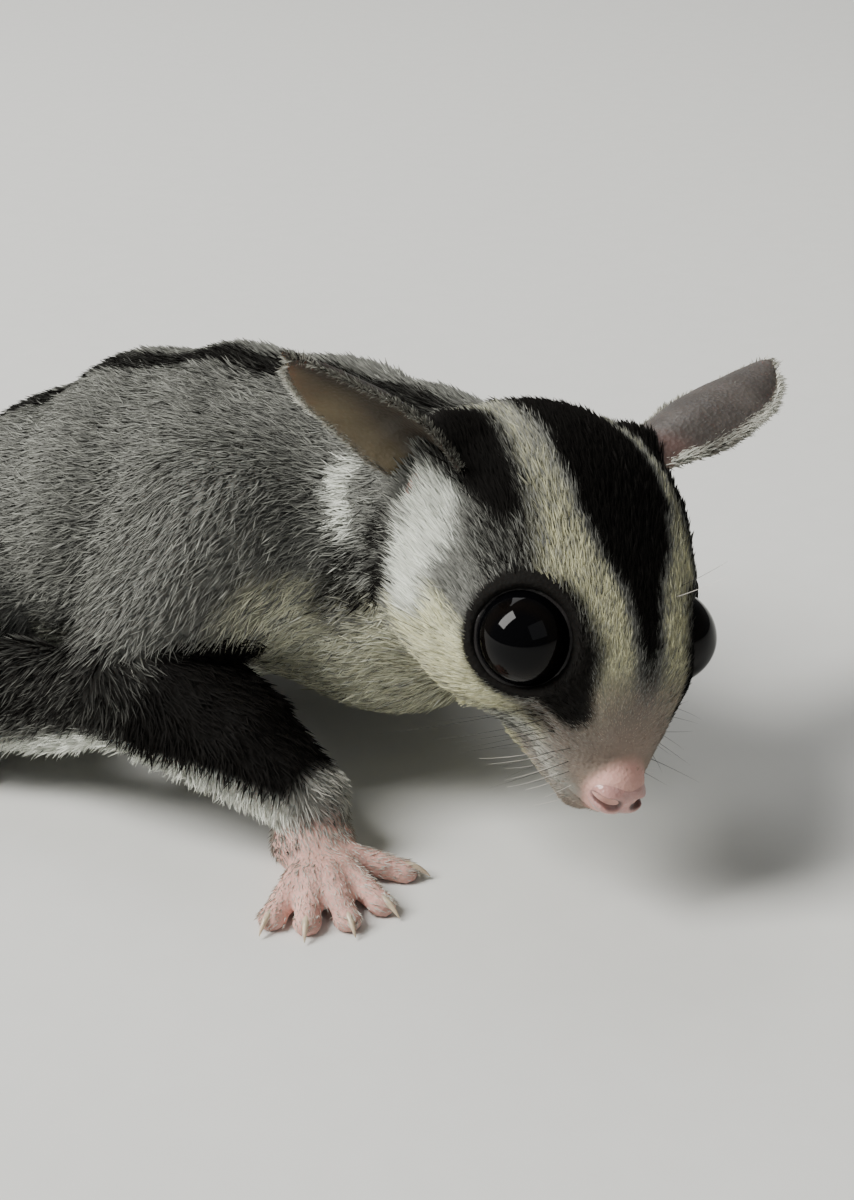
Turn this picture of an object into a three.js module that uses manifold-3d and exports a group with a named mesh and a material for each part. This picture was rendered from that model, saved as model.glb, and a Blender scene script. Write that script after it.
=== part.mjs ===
// A life-size sugar glider in a low crouch: all four feet on the floor, back arched, head turned to its
// right and reaching down, tail laid out behind. Millimetres, +Z up. The body points along +X and its right
// is -Y. The floor is the plane z = 0, and the origin is under the middle of the whole animal.
import * as THREE from 'three';
import { LoftGeometry } from 'three/addons/geometries/LoftGeometry.js';
import { mergeVertices } from 'three/addons/utils/BufferGeometryUtils.js';
import Module from 'manifold-3d';

// Driving dimensions, to the outside of the coat
const skullLength = 42;
const trunkLength = 88;
const tailLength = 182;
const eyeRadius = 4.7;
const eyeOpening = 59;
const lidThickness = 0.62;
const earLength = 19.5;
const earWidth = 12.4;
const earThickness = 0.9;
const earDepth = 2.6;
const noseWidth = 5.6;
const tailRadius = 11.5;
const seam = 0.32;

// Where the point midway between the eyes is, and how the head is turned, in degrees
const headPlace = new THREE.Vector3(0, 0, 27);
const headTurn = { yaw: -46, pitch: 26.6, roll: -17.4 };

// Mesh sizes: the side of a grid cell for each kind of node
const cellOf = {
  head: 2.6,
  muzzle: 1.85,
  neck: 4.6,
  torso: 5.6,
  leg: 3.9,
  membrane: 4,
  cutter: 6.5,
  paw: 3.1,
};

const fur = {
  grey: { color: 0x8f908a, roughness: 0.85 },
  dark: { color: 0x35322f, roughness: 0.85 },
  pale: { color: 0xd9d6c4, roughness: 0.85 },
  skin: { color: 0xd9a49a, roughness: 0.6 },
  eye: { color: 0x08080a, roughness: 0.05 },
};

const wasm = await Module();
wasm.setup();

const degrees = (angle) => (angle * Math.PI) / 180;
const clamp = (value, low, high) => Math.min(high, Math.max(low, value));
const mix = (a, b, t) => a + (b - a) * t;
const vec = (x, y, z) => new THREE.Vector3(x, y, z);
const smoothStep = (t) => t * t * (3 - 2 * t);

// The head's own frame: x to the nose, y to its left, z to the crown
const headFrame = new THREE.Matrix4().compose(
  headPlace,
  new THREE.Quaternion().setFromEuler(
    new THREE.Euler(degrees(headTurn.roll), degrees(headTurn.pitch), degrees(headTurn.yaw), 'ZYX'),
  ),
  vec(1, 1, 1),
);
const headInverse = headFrame.clone().invert();
const onHead = (x, y, z) => vec(x, y, z).applyMatrix4(headFrame);

// A repeatable draw from 0 to 1
function seededDraw(seed) {
  let state = seed;
  return () => {
    state = (state * 1664525 + 1013904223) % 4294967296;
    return state / 4294967296;
  };
}

// Fields: each takes a point and gives roughly the distance to a form's surface, negative inside.

function ellipsoid(centre, radii) {
  return (p) => {
    const x = (p.x - centre.x) / radii.x;
    const y = (p.y - centre.y) / radii.y;
    const z = (p.z - centre.z) / radii.z;
    const near = Math.hypot(x, y, z);
    const slope = Math.hypot(x / radii.x, y / radii.y, z / radii.z);
    return near < 1e-6 ? -Math.min(radii.x, radii.y, radii.z) : (near * (near - 1)) / slope;
  };
}

// A limb or muzzle: a row of points, each with its radius, joined by straight tapering rods
function rod(stations) {
  return (p) => {
    let nearest = Infinity;
    for (let i = 0; i + 1 < stations.length; i += 1) {
      const [a, ra] = stations[i];
      const [b, rb] = stations[i + 1];
      const along = b.clone().sub(a);
      const t = clamp(p.clone().sub(a).dot(along) / along.lengthSq(), 0, 1);
      nearest = Math.min(nearest, p.distanceTo(along.multiplyScalar(t).add(a)) - mix(ra, rb, t));
    }
    return nearest;
  };
}

// A fold of skin: a rod whose section is flattened sideways, so that it hangs as a flap of a given depth
function flap(stations) {
  const curve = new THREE.CatmullRomCurve3(stations.map((s) => s.at), false, 'centripetal');
  const count = 40;
  const samples = Array.from({ length: count + 1 }, (_, i) => {
    const t = i / count;
    const along = curve.getTangent(t);
    const side = vec(-along.y, along.x, 0).normalize();
    const whole = t * (stations.length - 1);
    const k = Math.min(Math.floor(whole), stations.length - 2);
    const part = smoothStep(whole - k);
    return {
      at: curve.getPoint(t),
      side,
      down: side.clone().cross(along).normalize(),
      along,
      depth: mix(stations[k].depth, stations[k + 1].depth, part),
      half: mix(stations[k].half, stations[k + 1].half, part),
    };
  });
  return (p) => {
    let nearest = Infinity;
    for (const s of samples) {
      const away = p.clone().sub(s.at);
      const x = away.dot(s.along) / s.depth;
      const y = away.dot(s.side) / s.half;
      const z = away.dot(s.down) / s.depth;
      const near = Math.hypot(x, y, z);
      const slope = Math.hypot(x / s.depth, y / s.half, z / s.depth);
      nearest = Math.min(nearest, near < 1e-6 ? -s.half : (near * (near - 1)) / slope);
    }
    return nearest;
  };
}

// The softer minimum of two distances, so that forms flow into one another over a width
function blend(a, b, width) {
  const h = Math.max(width - Math.abs(a - b), 0) / width;
  return Math.min(a, b) - (h * h * width) / 4;
}

function joined(fields, width) {
  return (p) => fields.reduce((sum, field) => blend(sum, field(p), width), Infinity);
}

// The first form stays whole and each later one flows into it over its own width
function built(first, ...layers) {
  return (p) => layers.reduce((sum, [field, width]) => blend(sum, field(p), width), first(p));
}

const inHead = (field) => (p) => field(p.clone().applyMatrix4(headInverse));
const bothSides = (field) => (p) => field(vec(p.x, -Math.abs(p.y), p.z));

// Head, in its own frame, built for the right side and mirrored
const eyeCentre = vec(5.5, -7.8, 0.8);
const gaze = vec(0.57, -0.69, 0.43).normalize();
const noseCentre = vec(17.9, 0, -6.1);
const noseRadii = vec(2.5, noseWidth / 2, 2.4);
const earRoot = vec(-13.6, -11.2, 5.4);

const headForm = built(
  ellipsoid(vec(-6.5, 0, 1.5), vec(skullLength * 0.33, 14, 11.3)),
  [ellipsoid(vec(4, 0, 1), vec(11.5, 9.8, 8.2)), 5],
  [rod([[vec(4, 0, -2.5), 8.2], [vec(12, 0, -4.6), 5.6], [vec(17, 0, -6), 3.1]]), 4],
  [rod([[vec(-4, 0, -6.6), 6.8], [vec(6, 0, -9.1), 5], [vec(14.2, 0, -10), 2.7]]), 2.5],
  [bothSides(ellipsoid(vec(-1.5, -8.6, -5), vec(8.5, 5.8, 6.2))), 5],
  [bothSides(ellipsoid(eyeCentre.clone().addScaledVector(gaze, -2), vec(6, 6, 6))), 3],
  [bothSides(rod([[vec(-11, -8.6, 3), 5], [vec(-13, -10.4, 5), 3.8]])), 4],
);

// Trunk stations: the middle of the section, its half width and its half height
const trunkStations = [
  { at: vec(-12, 8, 28), wide: 14, high: 12.8 },
  { at: vec(-22, 12, 26.4), wide: 16.5, high: 15.6 },
  { at: vec(-33, 14, 25.2), wide: 18.5, high: 17.8 },
  { at: vec(-44, 14.5, 24.2), wide: 20, high: 19.4 },
  { at: vec(-55, 14.5, 22.6), wide: 21, high: 19.3 },
  { at: vec(-66, 14, 19.2), wide: 21.5, high: 17.2 },
  { at: vec(-77, 13.5, 16.2), wide: 19.5, high: 14.4 },
  { at: vec(-87, 13, 13.2), wide: 14.5, high: 11.4 },
];
const chest = ellipsoid(vec(-23, 8.5, 18.6), vec(13.5, 11.5, 12));
const tailRoot = vec(-trunkLength - 6, 12.6, 10.2);
const trunkForm = joined(
  [
    ...trunkStations.map((s) => ellipsoid(s.at, vec(13.5, s.wide, s.high))),
    chest,
    rod([[vec(-88, 13, 12.5), 8.5], [tailRoot, 6.4], [vec(-112, 13, 9.2), 6]]),
  ],
  5,
);

// Legs: each from the shoulder or hip to the wrist or ankle
const forelegPoints = {
  right: [vec(-36, 0, 29), vec(-44.5, -8.2, 17), vec(-31.5, -9.8, 11.8), vec(-24.2, -10.8, 6.6)],
  left: [vec(-35, 27, 28), vec(-43, 36, 16.5), vec(-30, 37, 10), vec(-21, 36.5, 5.4)],
};
const forelegRadii = [9.6, 7.4, 5.6, 4];
const hindlegPoints = {
  right: [vec(-82, 4, 17), vec(-69, -6.4, 14.5), vec(-85, -8.5, 7.5), vec(-87.5, -8.6, 4.6)],
  left: [vec(-82, 23, 17), vec(-70, 34.5, 14.5), vec(-87, 36.5, 7.5), vec(-89.5, 36.6, 4.6)],
};
const hindlegRadii = [10.5, 8.4, 4.6, 3.6];
const legForm = (points, radii) => rod(points.map((at, i) => [at, radii[i]]));

// The gliding membrane: a fold that hangs from the elbow to the ankle, and a narrow hem up the forearm
const membranePoints = {
  right: [
    { at: vec(-25.5, -13.6, 7.4), depth: 2, half: 1.5 },
    { at: vec(-34, -14, 10.6), depth: 2.7, half: 1.8 },
    { at: vec(-45, -13.6, 14.2), depth: 4.2, half: 2.4 },
    { at: vec(-55, -10.4, 12.5), depth: 6.6, half: 3.4 },
    { at: vec(-66, -11, 10.4), depth: 6.4, half: 3.6 },
    { at: vec(-77, -12.4, 8.4), depth: 5.2, half: 3 },
    { at: vec(-85, -12, 5.4), depth: 2.8, half: 1.8 },
  ],
  left: [
    { at: vec(-21.5, 38.8, 5.6), depth: 2, half: 1.5 },
    { at: vec(-31, 40.6, 8.4), depth: 3.6, half: 1.9 },
    { at: vec(-43, 41.2, 13), depth: 5.2, half: 2.4 },
    { at: vec(-54, 38.6, 12.5), depth: 6.6, half: 3.4 },
    { at: vec(-66, 39.2, 10.4), depth: 6.4, half: 3.6 },
    { at: vec(-78, 40.4, 8.4), depth: 5.2, half: 3 },
    { at: vec(-87, 40, 5.4), depth: 2.8, half: 1.8 },
  ],
};

const limbs = {
  foreleg_right: legForm(forelegPoints.right, forelegRadii),
  foreleg_left: legForm(forelegPoints.left, forelegRadii),
  hindleg_right: legForm(hindlegPoints.right, hindlegRadii),
  hindleg_left: legForm(hindlegPoints.left, hindlegRadii),
  membrane_right: flap(membranePoints.right),
  membrane_left: flap(membranePoints.left),
};

const trunkAndHead = built(trunkForm, [inHead(headForm), 6]);
const wholeForm = built(trunkAndHead, ...Object.entries(limbs).map(([name, form]) => [
  form,
  name.startsWith('membrane') ? 3 : 6,
]));

// Meshes the zero level of a field. Each grid cell that the surface crosses gets one vertex for each sheet
// of surface in it, drawn onto the surface, and each grid edge that is crossed gets one quad round it. The
// rim of the grid counts as outside, so that the mesh is always closed.
const corners = [[0, 0, 0], [1, 0, 0], [1, 1, 0], [0, 1, 0], [0, 0, 1], [1, 0, 1], [1, 1, 1], [0, 1, 1]];
const cellEdges = [
  [0, 1], [1, 2], [3, 2], [0, 3],
  [4, 5], [5, 6], [7, 6], [4, 7],
  [0, 4], [1, 5], [2, 6], [3, 7],
];
const cellFaces = [[0, 1, 2, 3], [4, 5, 6, 7], [0, 1, 5, 4], [3, 2, 6, 7], [0, 3, 7, 4], [1, 2, 6, 5]];
const edgeBetween = (a, b) => cellEdges.findIndex(([p, q]) => (p === a && q === b) || (p === b && q === a));
const faceEdges = cellFaces.map((ring) => ring.map((corner, n) => edgeBetween(corner, ring[(n + 1) % 4])));

function evenly(low, high, cellAt) {
  const line = [low];
  while (line.at(-1) < high) line.push(line.at(-1) + cellAt(line.at(-1)));
  return line;
}

function meshOf(field, low, high, size) {
  const cellAt = typeof size === 'number' ? { x: () => size, y: () => size, z: () => size } : size;
  const lines = ['x', 'y', 'z'].map((axis) => evenly(low[axis], high[axis], cellAt[axis]));
  const [nx, ny, nz] = lines.map((line) => line.length);
  const cell = Math.min(...lines.map((line) => line[1] - line[0]));
  const values = new Float64Array(nx * ny * nz);
  const index = (i, j, k) => (k * ny + j) * nx + i;
  const grid = (line, place) => {
    const whole = Math.floor(place);
    return mix(line[whole], line[Math.min(whole + 1, line.length - 1)], place - whole);
  };
  const at = (i, j, k) => vec(grid(lines[0], i), grid(lines[1], j), grid(lines[2], k));
  for (let k = 0; k < nz; k += 1)
    for (let j = 0; j < ny; j += 1)
      for (let i = 0; i < nx; i += 1) {
        const rim = i === 0 || j === 0 || k === 0 || i === nx - 1 || j === ny - 1 || k === nz - 1;
        const value = field(at(i, j, k));
        values[index(i, j, k)] = rim ? Math.max(value, cell * 0.05) : value;
      }
  const points = [];
  const sheetOf = new Map();
  for (let k = 0; k < nz - 1; k += 1)
    for (let j = 0; j < ny - 1; j += 1)
      for (let i = 0; i < nx - 1; i += 1) {
        const local = corners.map(([a, b, c]) => values[index(i + a, j + b, k + c)]);
        const inside = local.map((value) => value < 0);
        if (inside.every((one) => one) || !inside.some((one) => one)) continue;
        const sheet = cellEdges.map((edge, n) => n);
        const unite = (a, b) => {
          const [from, to] = [sheet[a], sheet[b]];
          sheet.forEach((one, n) => { if (one === from) sheet[n] = to; });
        };
        cellFaces.forEach((ring, f) => {
          const crossed = faceEdges[f].filter((e) => inside[cellEdges[e][0]] !== inside[cellEdges[e][1]]);
          if (crossed.length === 2) unite(crossed[0], crossed[1]);
          if (crossed.length === 4) ring.forEach((corner, n) => {
            if (inside[corner]) unite(faceEdges[f][(n + 3) % 4], faceEdges[f][n]);
          });
        });
        const made = new Map();
        cellEdges.forEach(([a, b], e) => {
          if (inside[a] === inside[b]) return;
          const t = local[a] / (local[a] - local[b]);
          const [di, dj, dk] = [0, 1, 2].map((axis) => mix(corners[a][axis], corners[b][axis], t));
          const crossing = at(i + di, j + dj, k + dk);
          const group = made.get(sheet[e]) ?? { sum: vec(0, 0, 0), edges: [] };
          group.sum.add(crossing);
          group.edges.push(e);
          made.set(sheet[e], group);
        });
        for (const { sum, edges } of made.values()) {
          for (const e of edges) sheetOf.set(index(i, j, k) * 12 + e, points.length);
          points.push(drawnTo(field, sum.divideScalar(edges.length), cell));
        }
      }
  const faces = [];
  const quad = (ring, turned) => {
    const [a, b, c, d] = ring.map(([i, j, k, e]) => sheetOf.get(index(i, j, k) * 12 + e));
    const shortWay = points[a].distanceTo(points[c]) <= points[b].distanceTo(points[d]);
    const split = shortWay ? [a, b, c, a, c, d] : [a, b, d, b, c, d];
    faces.push(...(turned ? split.reverse() : split));
  };
  for (let k = 0; k < nz - 1; k += 1)
    for (let j = 0; j < ny - 1; j += 1)
      for (let i = 0; i < nx - 1; i += 1) {
        const here = values[index(i, j, k)] < 0;
        if (here !== values[index(i + 1, j, k)] < 0)
          quad([[i, j - 1, k - 1, 6], [i, j, k - 1, 4], [i, j, k, 0], [i, j - 1, k, 2]], !here);
        if (here !== values[index(i, j + 1, k)] < 0)
          quad([[i - 1, j, k - 1, 5], [i - 1, j, k, 1], [i, j, k, 3], [i, j, k - 1, 7]], !here);
        if (here !== values[index(i, j, k + 1)] < 0)
          quad([[i - 1, j - 1, k, 10], [i, j - 1, k, 11], [i, j, k, 8], [i - 1, j, k, 9]], !here);
      }
  const geometry = new THREE.BufferGeometry().setFromPoints(points);
  geometry.setIndex(faces);
  return geometry;
}

// Moves a point onto the zero level along the field's slope, by no more than half a cell
function drawnTo(field, start, cell) {
  const step = cell * 0.05;
  const p = start.clone();
  for (let round = 0; round < 3; round += 1) {
    const value = field(p);
    const slope = vec(
      field(vec(p.x + step, p.y, p.z)) - value,
      field(vec(p.x, p.y + step, p.z)) - value,
      field(vec(p.x, p.y, p.z + step)) - value,
    ).divideScalar(step);
    p.addScaledVector(slope, -value / Math.max(slope.lengthSq(), 0.2));
    const moved = p.clone().sub(start).clampLength(0, cell * 0.5);
    p.copy(start).add(moved);
  }
  return p;
}

// A closed geometry as a solid for joining and cutting, and back again
function solidOf(geometry) {
  const plain = geometry.clone();
  plain.deleteAttribute('normal');
  plain.deleteAttribute('uv');
  const merged = mergeVertices(plain, 1e-4);
  const solid = new wasm.Manifold(new wasm.Mesh({
    numProp: 3,
    vertProperties: new Float32Array(merged.attributes.position.array),
    triVerts: new Uint32Array(merged.index.array),
  }));
  return solid;
}

function geometryOf(solid) {
  const mesh = solid.getMesh();
  const geometry = new THREE.BufferGeometry();
  geometry.setAttribute('position', new THREE.BufferAttribute(mesh.vertProperties, 3));
  geometry.setIndex(new THREE.BufferAttribute(mesh.triVerts, 1));
  return geometry;
}

const largestOf = (solid) => solid.decompose().sort((a, b) => b.volume() - a.volume())[0];
const together = (solids) => solids.reduce((sum, solid) => sum.add(solid));

// The half space on one side of a plane, as a big box
function halfSpace(point, outward, size = 1200) {
  const geometry = new THREE.BoxGeometry(size, size, size);
  geometry.translate(0, 0, size / 2);
  const turn = new THREE.Quaternion().setFromUnitVectors(vec(0, 0, 1), outward.clone().normalize());
  geometry.applyQuaternion(turn);
  geometry.translate(point.x, point.y, point.z);
  return solidOf(geometry);
}
const belowFloor = halfSpace(vec(0, 0, 0), vec(0, 0, -1));

// A round tapering rod along a smooth line, from rings of points
function taperedTube(points, radii, sides, steps, flatness = 1) {
  const curve = new THREE.CatmullRomCurve3(points, false, 'centripetal');
  const sections = [];
  for (let i = 0; i <= steps; i += 1) {
    const t = i / steps;
    const along = curve.getTangent(t);
    const side = vec(-along.y, along.x, 0).normalize();
    const up = along.clone().cross(side).normalize();
    const whole = t * (radii.length - 1);
    const k = Math.min(Math.floor(whole), radii.length - 2);
    const radius = mix(radii[k], radii[k + 1], whole - k);
    sections.push(Array.from({ length: sides }, (_, j) => {
      const angle = (2 * Math.PI * j) / sides;
      return curve.getPoint(t)
        .addScaledVector(side, Math.cos(angle) * radius)
        .addScaledVector(up, Math.sin(angle) * radius * flatness);
    }));
  }
  return solidOf(new LoftGeometry(sections, { capStart: true, capEnd: true }));
}

// Where the planes between head, neck, torso and tail stand, and which way each looks
const headCut = { at: onHead(-14.5, 0, -1.5), out: vec(1, 0, 0.12).transformDirection(headFrame) };
const neckCut = { at: vec(-29, 13, 26), out: vec(1, -0.28, 0.05) };
const tailCut = { at: vec(-96, 12.8, 10), out: vec(-1, 0, 0) };
const offset = (cut, by) => cut.at.clone().addScaledVector(cut.out.clone().normalize(), by);
const before = (cut) => halfSpace(offset(cut, seam / 2), cut.out);
const behind = (cut) => halfSpace(offset(cut, -seam / 2), cut.out.clone().negate());

// Where each leg ends and its paw begins, looking towards the paw
const pawCuts = {
  forepaw_right: { at: vec(-24.2, -10.8, 6.6), out: vec(0.82, 0, -0.57) },
  forepaw_left: { at: vec(-21.2, 36.5, 5.5), out: vec(0.86, 0, -0.5) },
  hindfoot_right: { at: vec(-86.6, -8.6, 5), out: vec(0.45, 0, -0.9) },
  hindfoot_left: { at: vec(-88.6, 36.6, 5), out: vec(0.45, 0, -0.9) },
};

// The space that belongs to one limb, where it is nearer than every other form
const limbBoxes = {
  foreleg_right: [vec(-60, -22, -2), vec(-16, 14, 44)],
  foreleg_left: [vec(-58, 14, -2), vec(-12, 50, 44)],
  hindleg_right: [vec(-100, -22, -2), vec(-52, 14, 36)],
  hindleg_left: [vec(-102, 14, -2), vec(-54, 50, 36)],
  membrane_right: [vec(-96, -26, -2), vec(-18, 6, 30)],
  membrane_left: [vec(-98, 22, -2), vec(-14, 52, 30)],
};

// The boundary is meshed once, and then moved in or out by half the gap, so that both sides run alike
const limbNames = Object.keys(limbs);
function limbSpacesOf(name) {
  const own = limbs[name];
  const isLeg = (other) => other !== name && other.includes('leg');
  const rivals = [trunkAndHead, ...limbNames.filter(isLeg).map((other) => limbs[other])];
  const nearer = (p) => own(p) - Math.min(...rivals.map((rival) => rival(p)));
  const boundary = meshOf(nearer, ...limbBoxes[name], cellOf.cutter);
  return { wide: solidOf(moved(boundary, 0.6 * seam)), narrow: solidOf(moved(boundary, -0.6 * seam)) };
}
function moved(geometry, by) {
  const spread = geometry.clone();
  spread.computeVertexNormals();
  const { position, normal } = spread.attributes;
  for (let i = 0; i < position.count; i += 1) {
    const way = vec().fromBufferAttribute(normal, i);
    const to = vec().fromBufferAttribute(position, i).addScaledVector(way, by);
    position.setXYZ(i, to.x, to.y, to.z);
  }
  return spread;
}
const limbSpaces = Object.fromEntries(limbNames.map((name) => [name, limbSpacesOf(name)]));
const limbless = (solid) => limbNames.reduce((rest, name) => rest.subtract(limbSpaces[name].wide), solid);

const trunkLow = vec(-116, -16, -2);
const trunkHigh = vec(30, 46, 60);

// Paws and feet: a sole, toes that bend at a knuckle and end in a pad, and a claw that springs from each
const pawRoots = {
  forepaw_right: { wrist: vec(-24.2, -10.8, 6.6), palm: vec(-22.8, -13.1, 2.7), facing: -50 },
  forepaw_left: { wrist: vec(-21, 36.5, 5.4), palm: vec(-17.6, 36.2, 2.6), facing: -6 },
  hindfoot_right: { wrist: vec(-87.5, -8.6, 4.6), palm: vec(-79.5, -10, 2.5), facing: -10 },
  hindfoot_left: { wrist: vec(-89.5, 36.6, 4.6), palm: vec(-81.5, 38, 2.5), facing: 10 },
};
const palmRadii = { fore: vec(4.6, 4.4, 3.2), hind: vec(8.6, 3.2, 2.9) };

// Each toe: its direction in degrees, its length, how far it arches up, and whether it bears a claw
const toesOf = {
  fore: [[-42, 9.6, 1.8, 1], [-20, 9.8, 2.4, 1], [3, 10, 2.6, 1], [27, 9.6, 2.2, 1], [66, 8.8, 1.8, 1]],
  hind: [[-34, 10.5, 1.4, 1], [-12, 12.5, 1.7, 1], [9, 11, 1.6, 1], [24, 9.8, 1.4, 1], [100, 8, 1, 0]],
};
const toeRadius = 1.4;
const clawLength = 2.5;

function toeSolid(root, turn, length, arch, clawed, by) {
  const way = vec(Math.cos(turn), Math.sin(turn), 0);
  const along = (t, z) => vec(root.x, root.y, 0).addScaledVector(way, length * t).setZ(z);
  const knuckle = along(0.42, 1 + arch * 0.8);
  const bend = [along(0, 1.9), knuckle, along(0.72, 0.9 + arch * 0.3), along(0.96, 0.85)];
  const radii = [1.15, 0.86, 1, 0.8].map((share) => toeRadius * share + by);
  const toe = taperedTube(bend, radii, 5, 4);
  if (!clawed) return toe;
  const base = along(0.9, 1.3);
  const tip = base.clone().addScaledVector(way, clawLength);
  const claw = [base, base.clone().lerp(tip, 0.5).setZ(1.5), tip.setZ(0.35)];
  return toe.add(taperedTube(claw, [0.62 + by, 0.48 + by, 0.14 + by], 4, 2));
}

function pawForm(root, radii) {
  const facing = degrees(-root.facing);
  const sole = ellipsoid(vec(0, 0, 0), radii);
  const turned = (p) => sole(p.clone().sub(root.palm).applyAxisAngle(vec(0, 0, 1), facing));
  return built(turned, [rod([[root.wrist, 3.2], [root.palm, 2.5]]), 2]);
}

function pawSolid(name, by) {
  const root = pawRoots[name];
  const low = root.palm.clone().sub(vec(13, 9, 5));
  const high = root.palm.clone().add(vec(12, 9, 9));
  const kind = name.slice(0, 4);
  const form = pawForm(root, palmRadii[kind]);
  const palm = solidOf(meshOf((p) => form(p) - by, low, high, cellOf.paw));
  const facing = degrees(root.facing);
  const ahead = vec(Math.cos(facing), Math.sin(facing), 0);
  const handed = name.endsWith('right') ? 1 : -1;
  const toes = toesOf[kind].map(([turn, length, arch, clawed]) => {
    const reach = Math.abs(turn) > 80 ? -2 : palmRadii[kind].x * 0.4;
    const start = root.palm.clone().addScaledVector(ahead, reach);
    return toeSolid(start, facing + degrees(turn) * handed, length, arch, clawed, by);
  });
  return together([palm, ...toes]);
}
const pawNames = Object.keys(pawRoots);
const pawRooms = Object.fromEntries(pawNames.map((name) => {
  const ahead = { ...pawCuts[name], at: offset(pawCuts[name], -seam) };
  return [name, pawSolid(name, seam * 1.1).intersect(before(ahead))];
}));
const pawless = (solid) => Object.values(pawRooms).reduce((rest, room) => rest.subtract(room), solid);
function buildPaw(name) {
  return largestOf(pawSolid(name, 0).subtract(belowFloor).intersect(before(pawCuts[name])));
}

function buildTrunkNodes() {
  const coarse = solidOf(meshOf(wholeForm, trunkLow, trunkHigh, cellOf.torso)).subtract(belowFloor);
  const torso = pawless(limbless(coarse.intersect(behind(neckCut)).intersect(behind(tailCut))));
  const neckRegion = solidOf(meshOf(wholeForm, vec(-50, -16, 0), vec(14, 40, 56), cellOf.neck));
  const neck = limbless(neckRegion.intersect(before(neckCut)).intersect(behind(headCut)));
  return { torso: largestOf(torso), neck: largestOf(neck) };
}

// A ball made of triangles, stretched and placed
function ball(centre, radii, detail = 3) {
  const geometry = new THREE.IcosahedronGeometry(1, detail);
  geometry.scale(radii.x, radii.y, radii.z);
  geometry.translate(centre.x, centre.y, centre.z);
  return solidOf(geometry);
}
const mirrored = (v, side) => vec(v.x, side * v.y, v.z);
const grown = (radii, by) => vec(radii.x + by, radii.y + by, radii.z + by);
const round = (radius) => vec(radius, radius, radius);

// The place where a line from inside the head comes out through its surface, in the head's own frame
function onSkin(from, way) {
  const direction = way.clone().normalize();
  let [low, high] = [0, 30];
  for (let n = 0; n < 24; n += 1) {
    const half = (low + high) / 2;
    if (headForm(from.clone().addScaledVector(direction, half)) < 0) low = half;
    else high = half;
  }
  return from.clone().addScaledVector(direction, low);
}

// The rim of the lids: a closed ring that lies on the eye, a little drawn out at its two corners
function lidRing(side) {
  const axis = mirrored(gaze, side);
  const toNose = vec(1, 0, -0.35).projectOnPlane(axis).normalize();
  const across = axis.clone().cross(toNose);
  const ring = Array.from({ length: 16 }, (_, n) => {
    const turn = (2 * Math.PI * n) / 16;
    const corner = 7 * Math.max(0, Math.cos(turn)) ** 6 + 4 * Math.max(0, -Math.cos(turn)) ** 6;
    const open = degrees(eyeOpening + corner);
    return mirrored(eyeCentre, side)
      .addScaledVector(axis, Math.cos(open) * (eyeRadius + 0.5))
      .addScaledVector(toNose, Math.cos(turn) * Math.sin(open) * (eyeRadius + 0.5))
      .addScaledVector(across, Math.sin(turn) * Math.sin(open) * (eyeRadius + 0.5));
  });
  const curve = new THREE.CatmullRomCurve3(ring, true);
  return solidOf(new THREE.TubeGeometry(curve, 20, lidThickness, 5, true));
}

// The line of the mouth: a groove from one corner round under the nose to the other, between full lips
const lipLine = [
  [4.5, 8.2], [7.5, 8.6], [10.5, 8.8], [13.2, 8.8], [15.4, 8.6],
];
function mouthPath() {
  const sideways = (side) => lipLine.map(([x, z]) => onSkin(vec(x, 0, -z), vec(0.12, side, -0.05)));
  const front = onSkin(vec(14, 0, -8.5), vec(1, 0, 0));
  return [...sideways(-1), front, ...sideways(1).reverse()];
}

function noseSolid(by) {
  const pad = ball(noseCentre, grown(noseRadii, by), 2);
  return pad.add(ball(vec(noseCentre.x - 0.6, 0, noseCentre.z - 1.4), grown(vec(2, 1.3, 1.9), by), 1));
}
function nostril(side) {
  const start = vec(noseCentre.x + 2.6, side * 1.15, noseCentre.z + 0.1);
  const end = vec(noseCentre.x + 0.7, side * (noseWidth / 2 + 0.4), noseCentre.z - 0.4);
  const middle = start.clone().lerp(end, 0.5).add(vec(0.1, 0, 0.25));
  return taperedTube([start, middle, end], [0.75, 0.6, 0.35], 5, 2);
}

const headCells = {
  x: (x) => (x > 6 ? cellOf.muzzle : cellOf.head),
  y: (y) => (Math.abs(y) < 5 ? cellOf.muzzle : cellOf.head),
  z: (z) => (z < -2 ? cellOf.muzzle + 0.2 : cellOf.head),
};
const wholeOnHead = (p) => wholeForm(p.clone().applyMatrix4(headFrame));
const inWorld = (solid) => solid.transform(headFrame.elements);

// What lies in front of an eye: a funnel that opens from just inside the rim of the lids
function beforeEye(side) {
  const axis = mirrored(gaze, side);
  const along = (t) => mirrored(eyeCentre, side).addScaledVector(axis, t);
  return taperedTube([along(2.5), along(5), along(9)], [4.3, 6.6, 9.5], 16, 2);
}

function buildHead() {
  const skin = solidOf(meshOf(wholeOnHead, vec(-22, -22, -26), vec(24, 22, 20), headCells));
  const lids = together([lidRing(1), lidRing(-1)]);
  const socket = (side) => ball(mirrored(eyeCentre, side), round(eyeRadius + seam), 2);
  const groove = taperedTube(mouthPath(), [0.3, 0.42, 0.45, 0.45, 0.42, 0.3], 5, 15);
  const exposed = skin.subtract(beforeEye(1)).subtract(beforeEye(-1));
  const lidded = exposed.add(lids).subtract(socket(1).add(socket(-1)));
  const carved = lidded.subtract(noseSolid(seam)).subtract(groove);
  return largestOf(limbless(inWorld(carved).intersect(before(headCut))));
}
function buildNose() {
  return inWorld(noseSolid(0).subtract(nostril(1)).subtract(nostril(-1)));
}
function buildEye(side) {
  return inWorld(ball(mirrored(eyeCentre, side), round(eyeRadius), 2));
}

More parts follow.
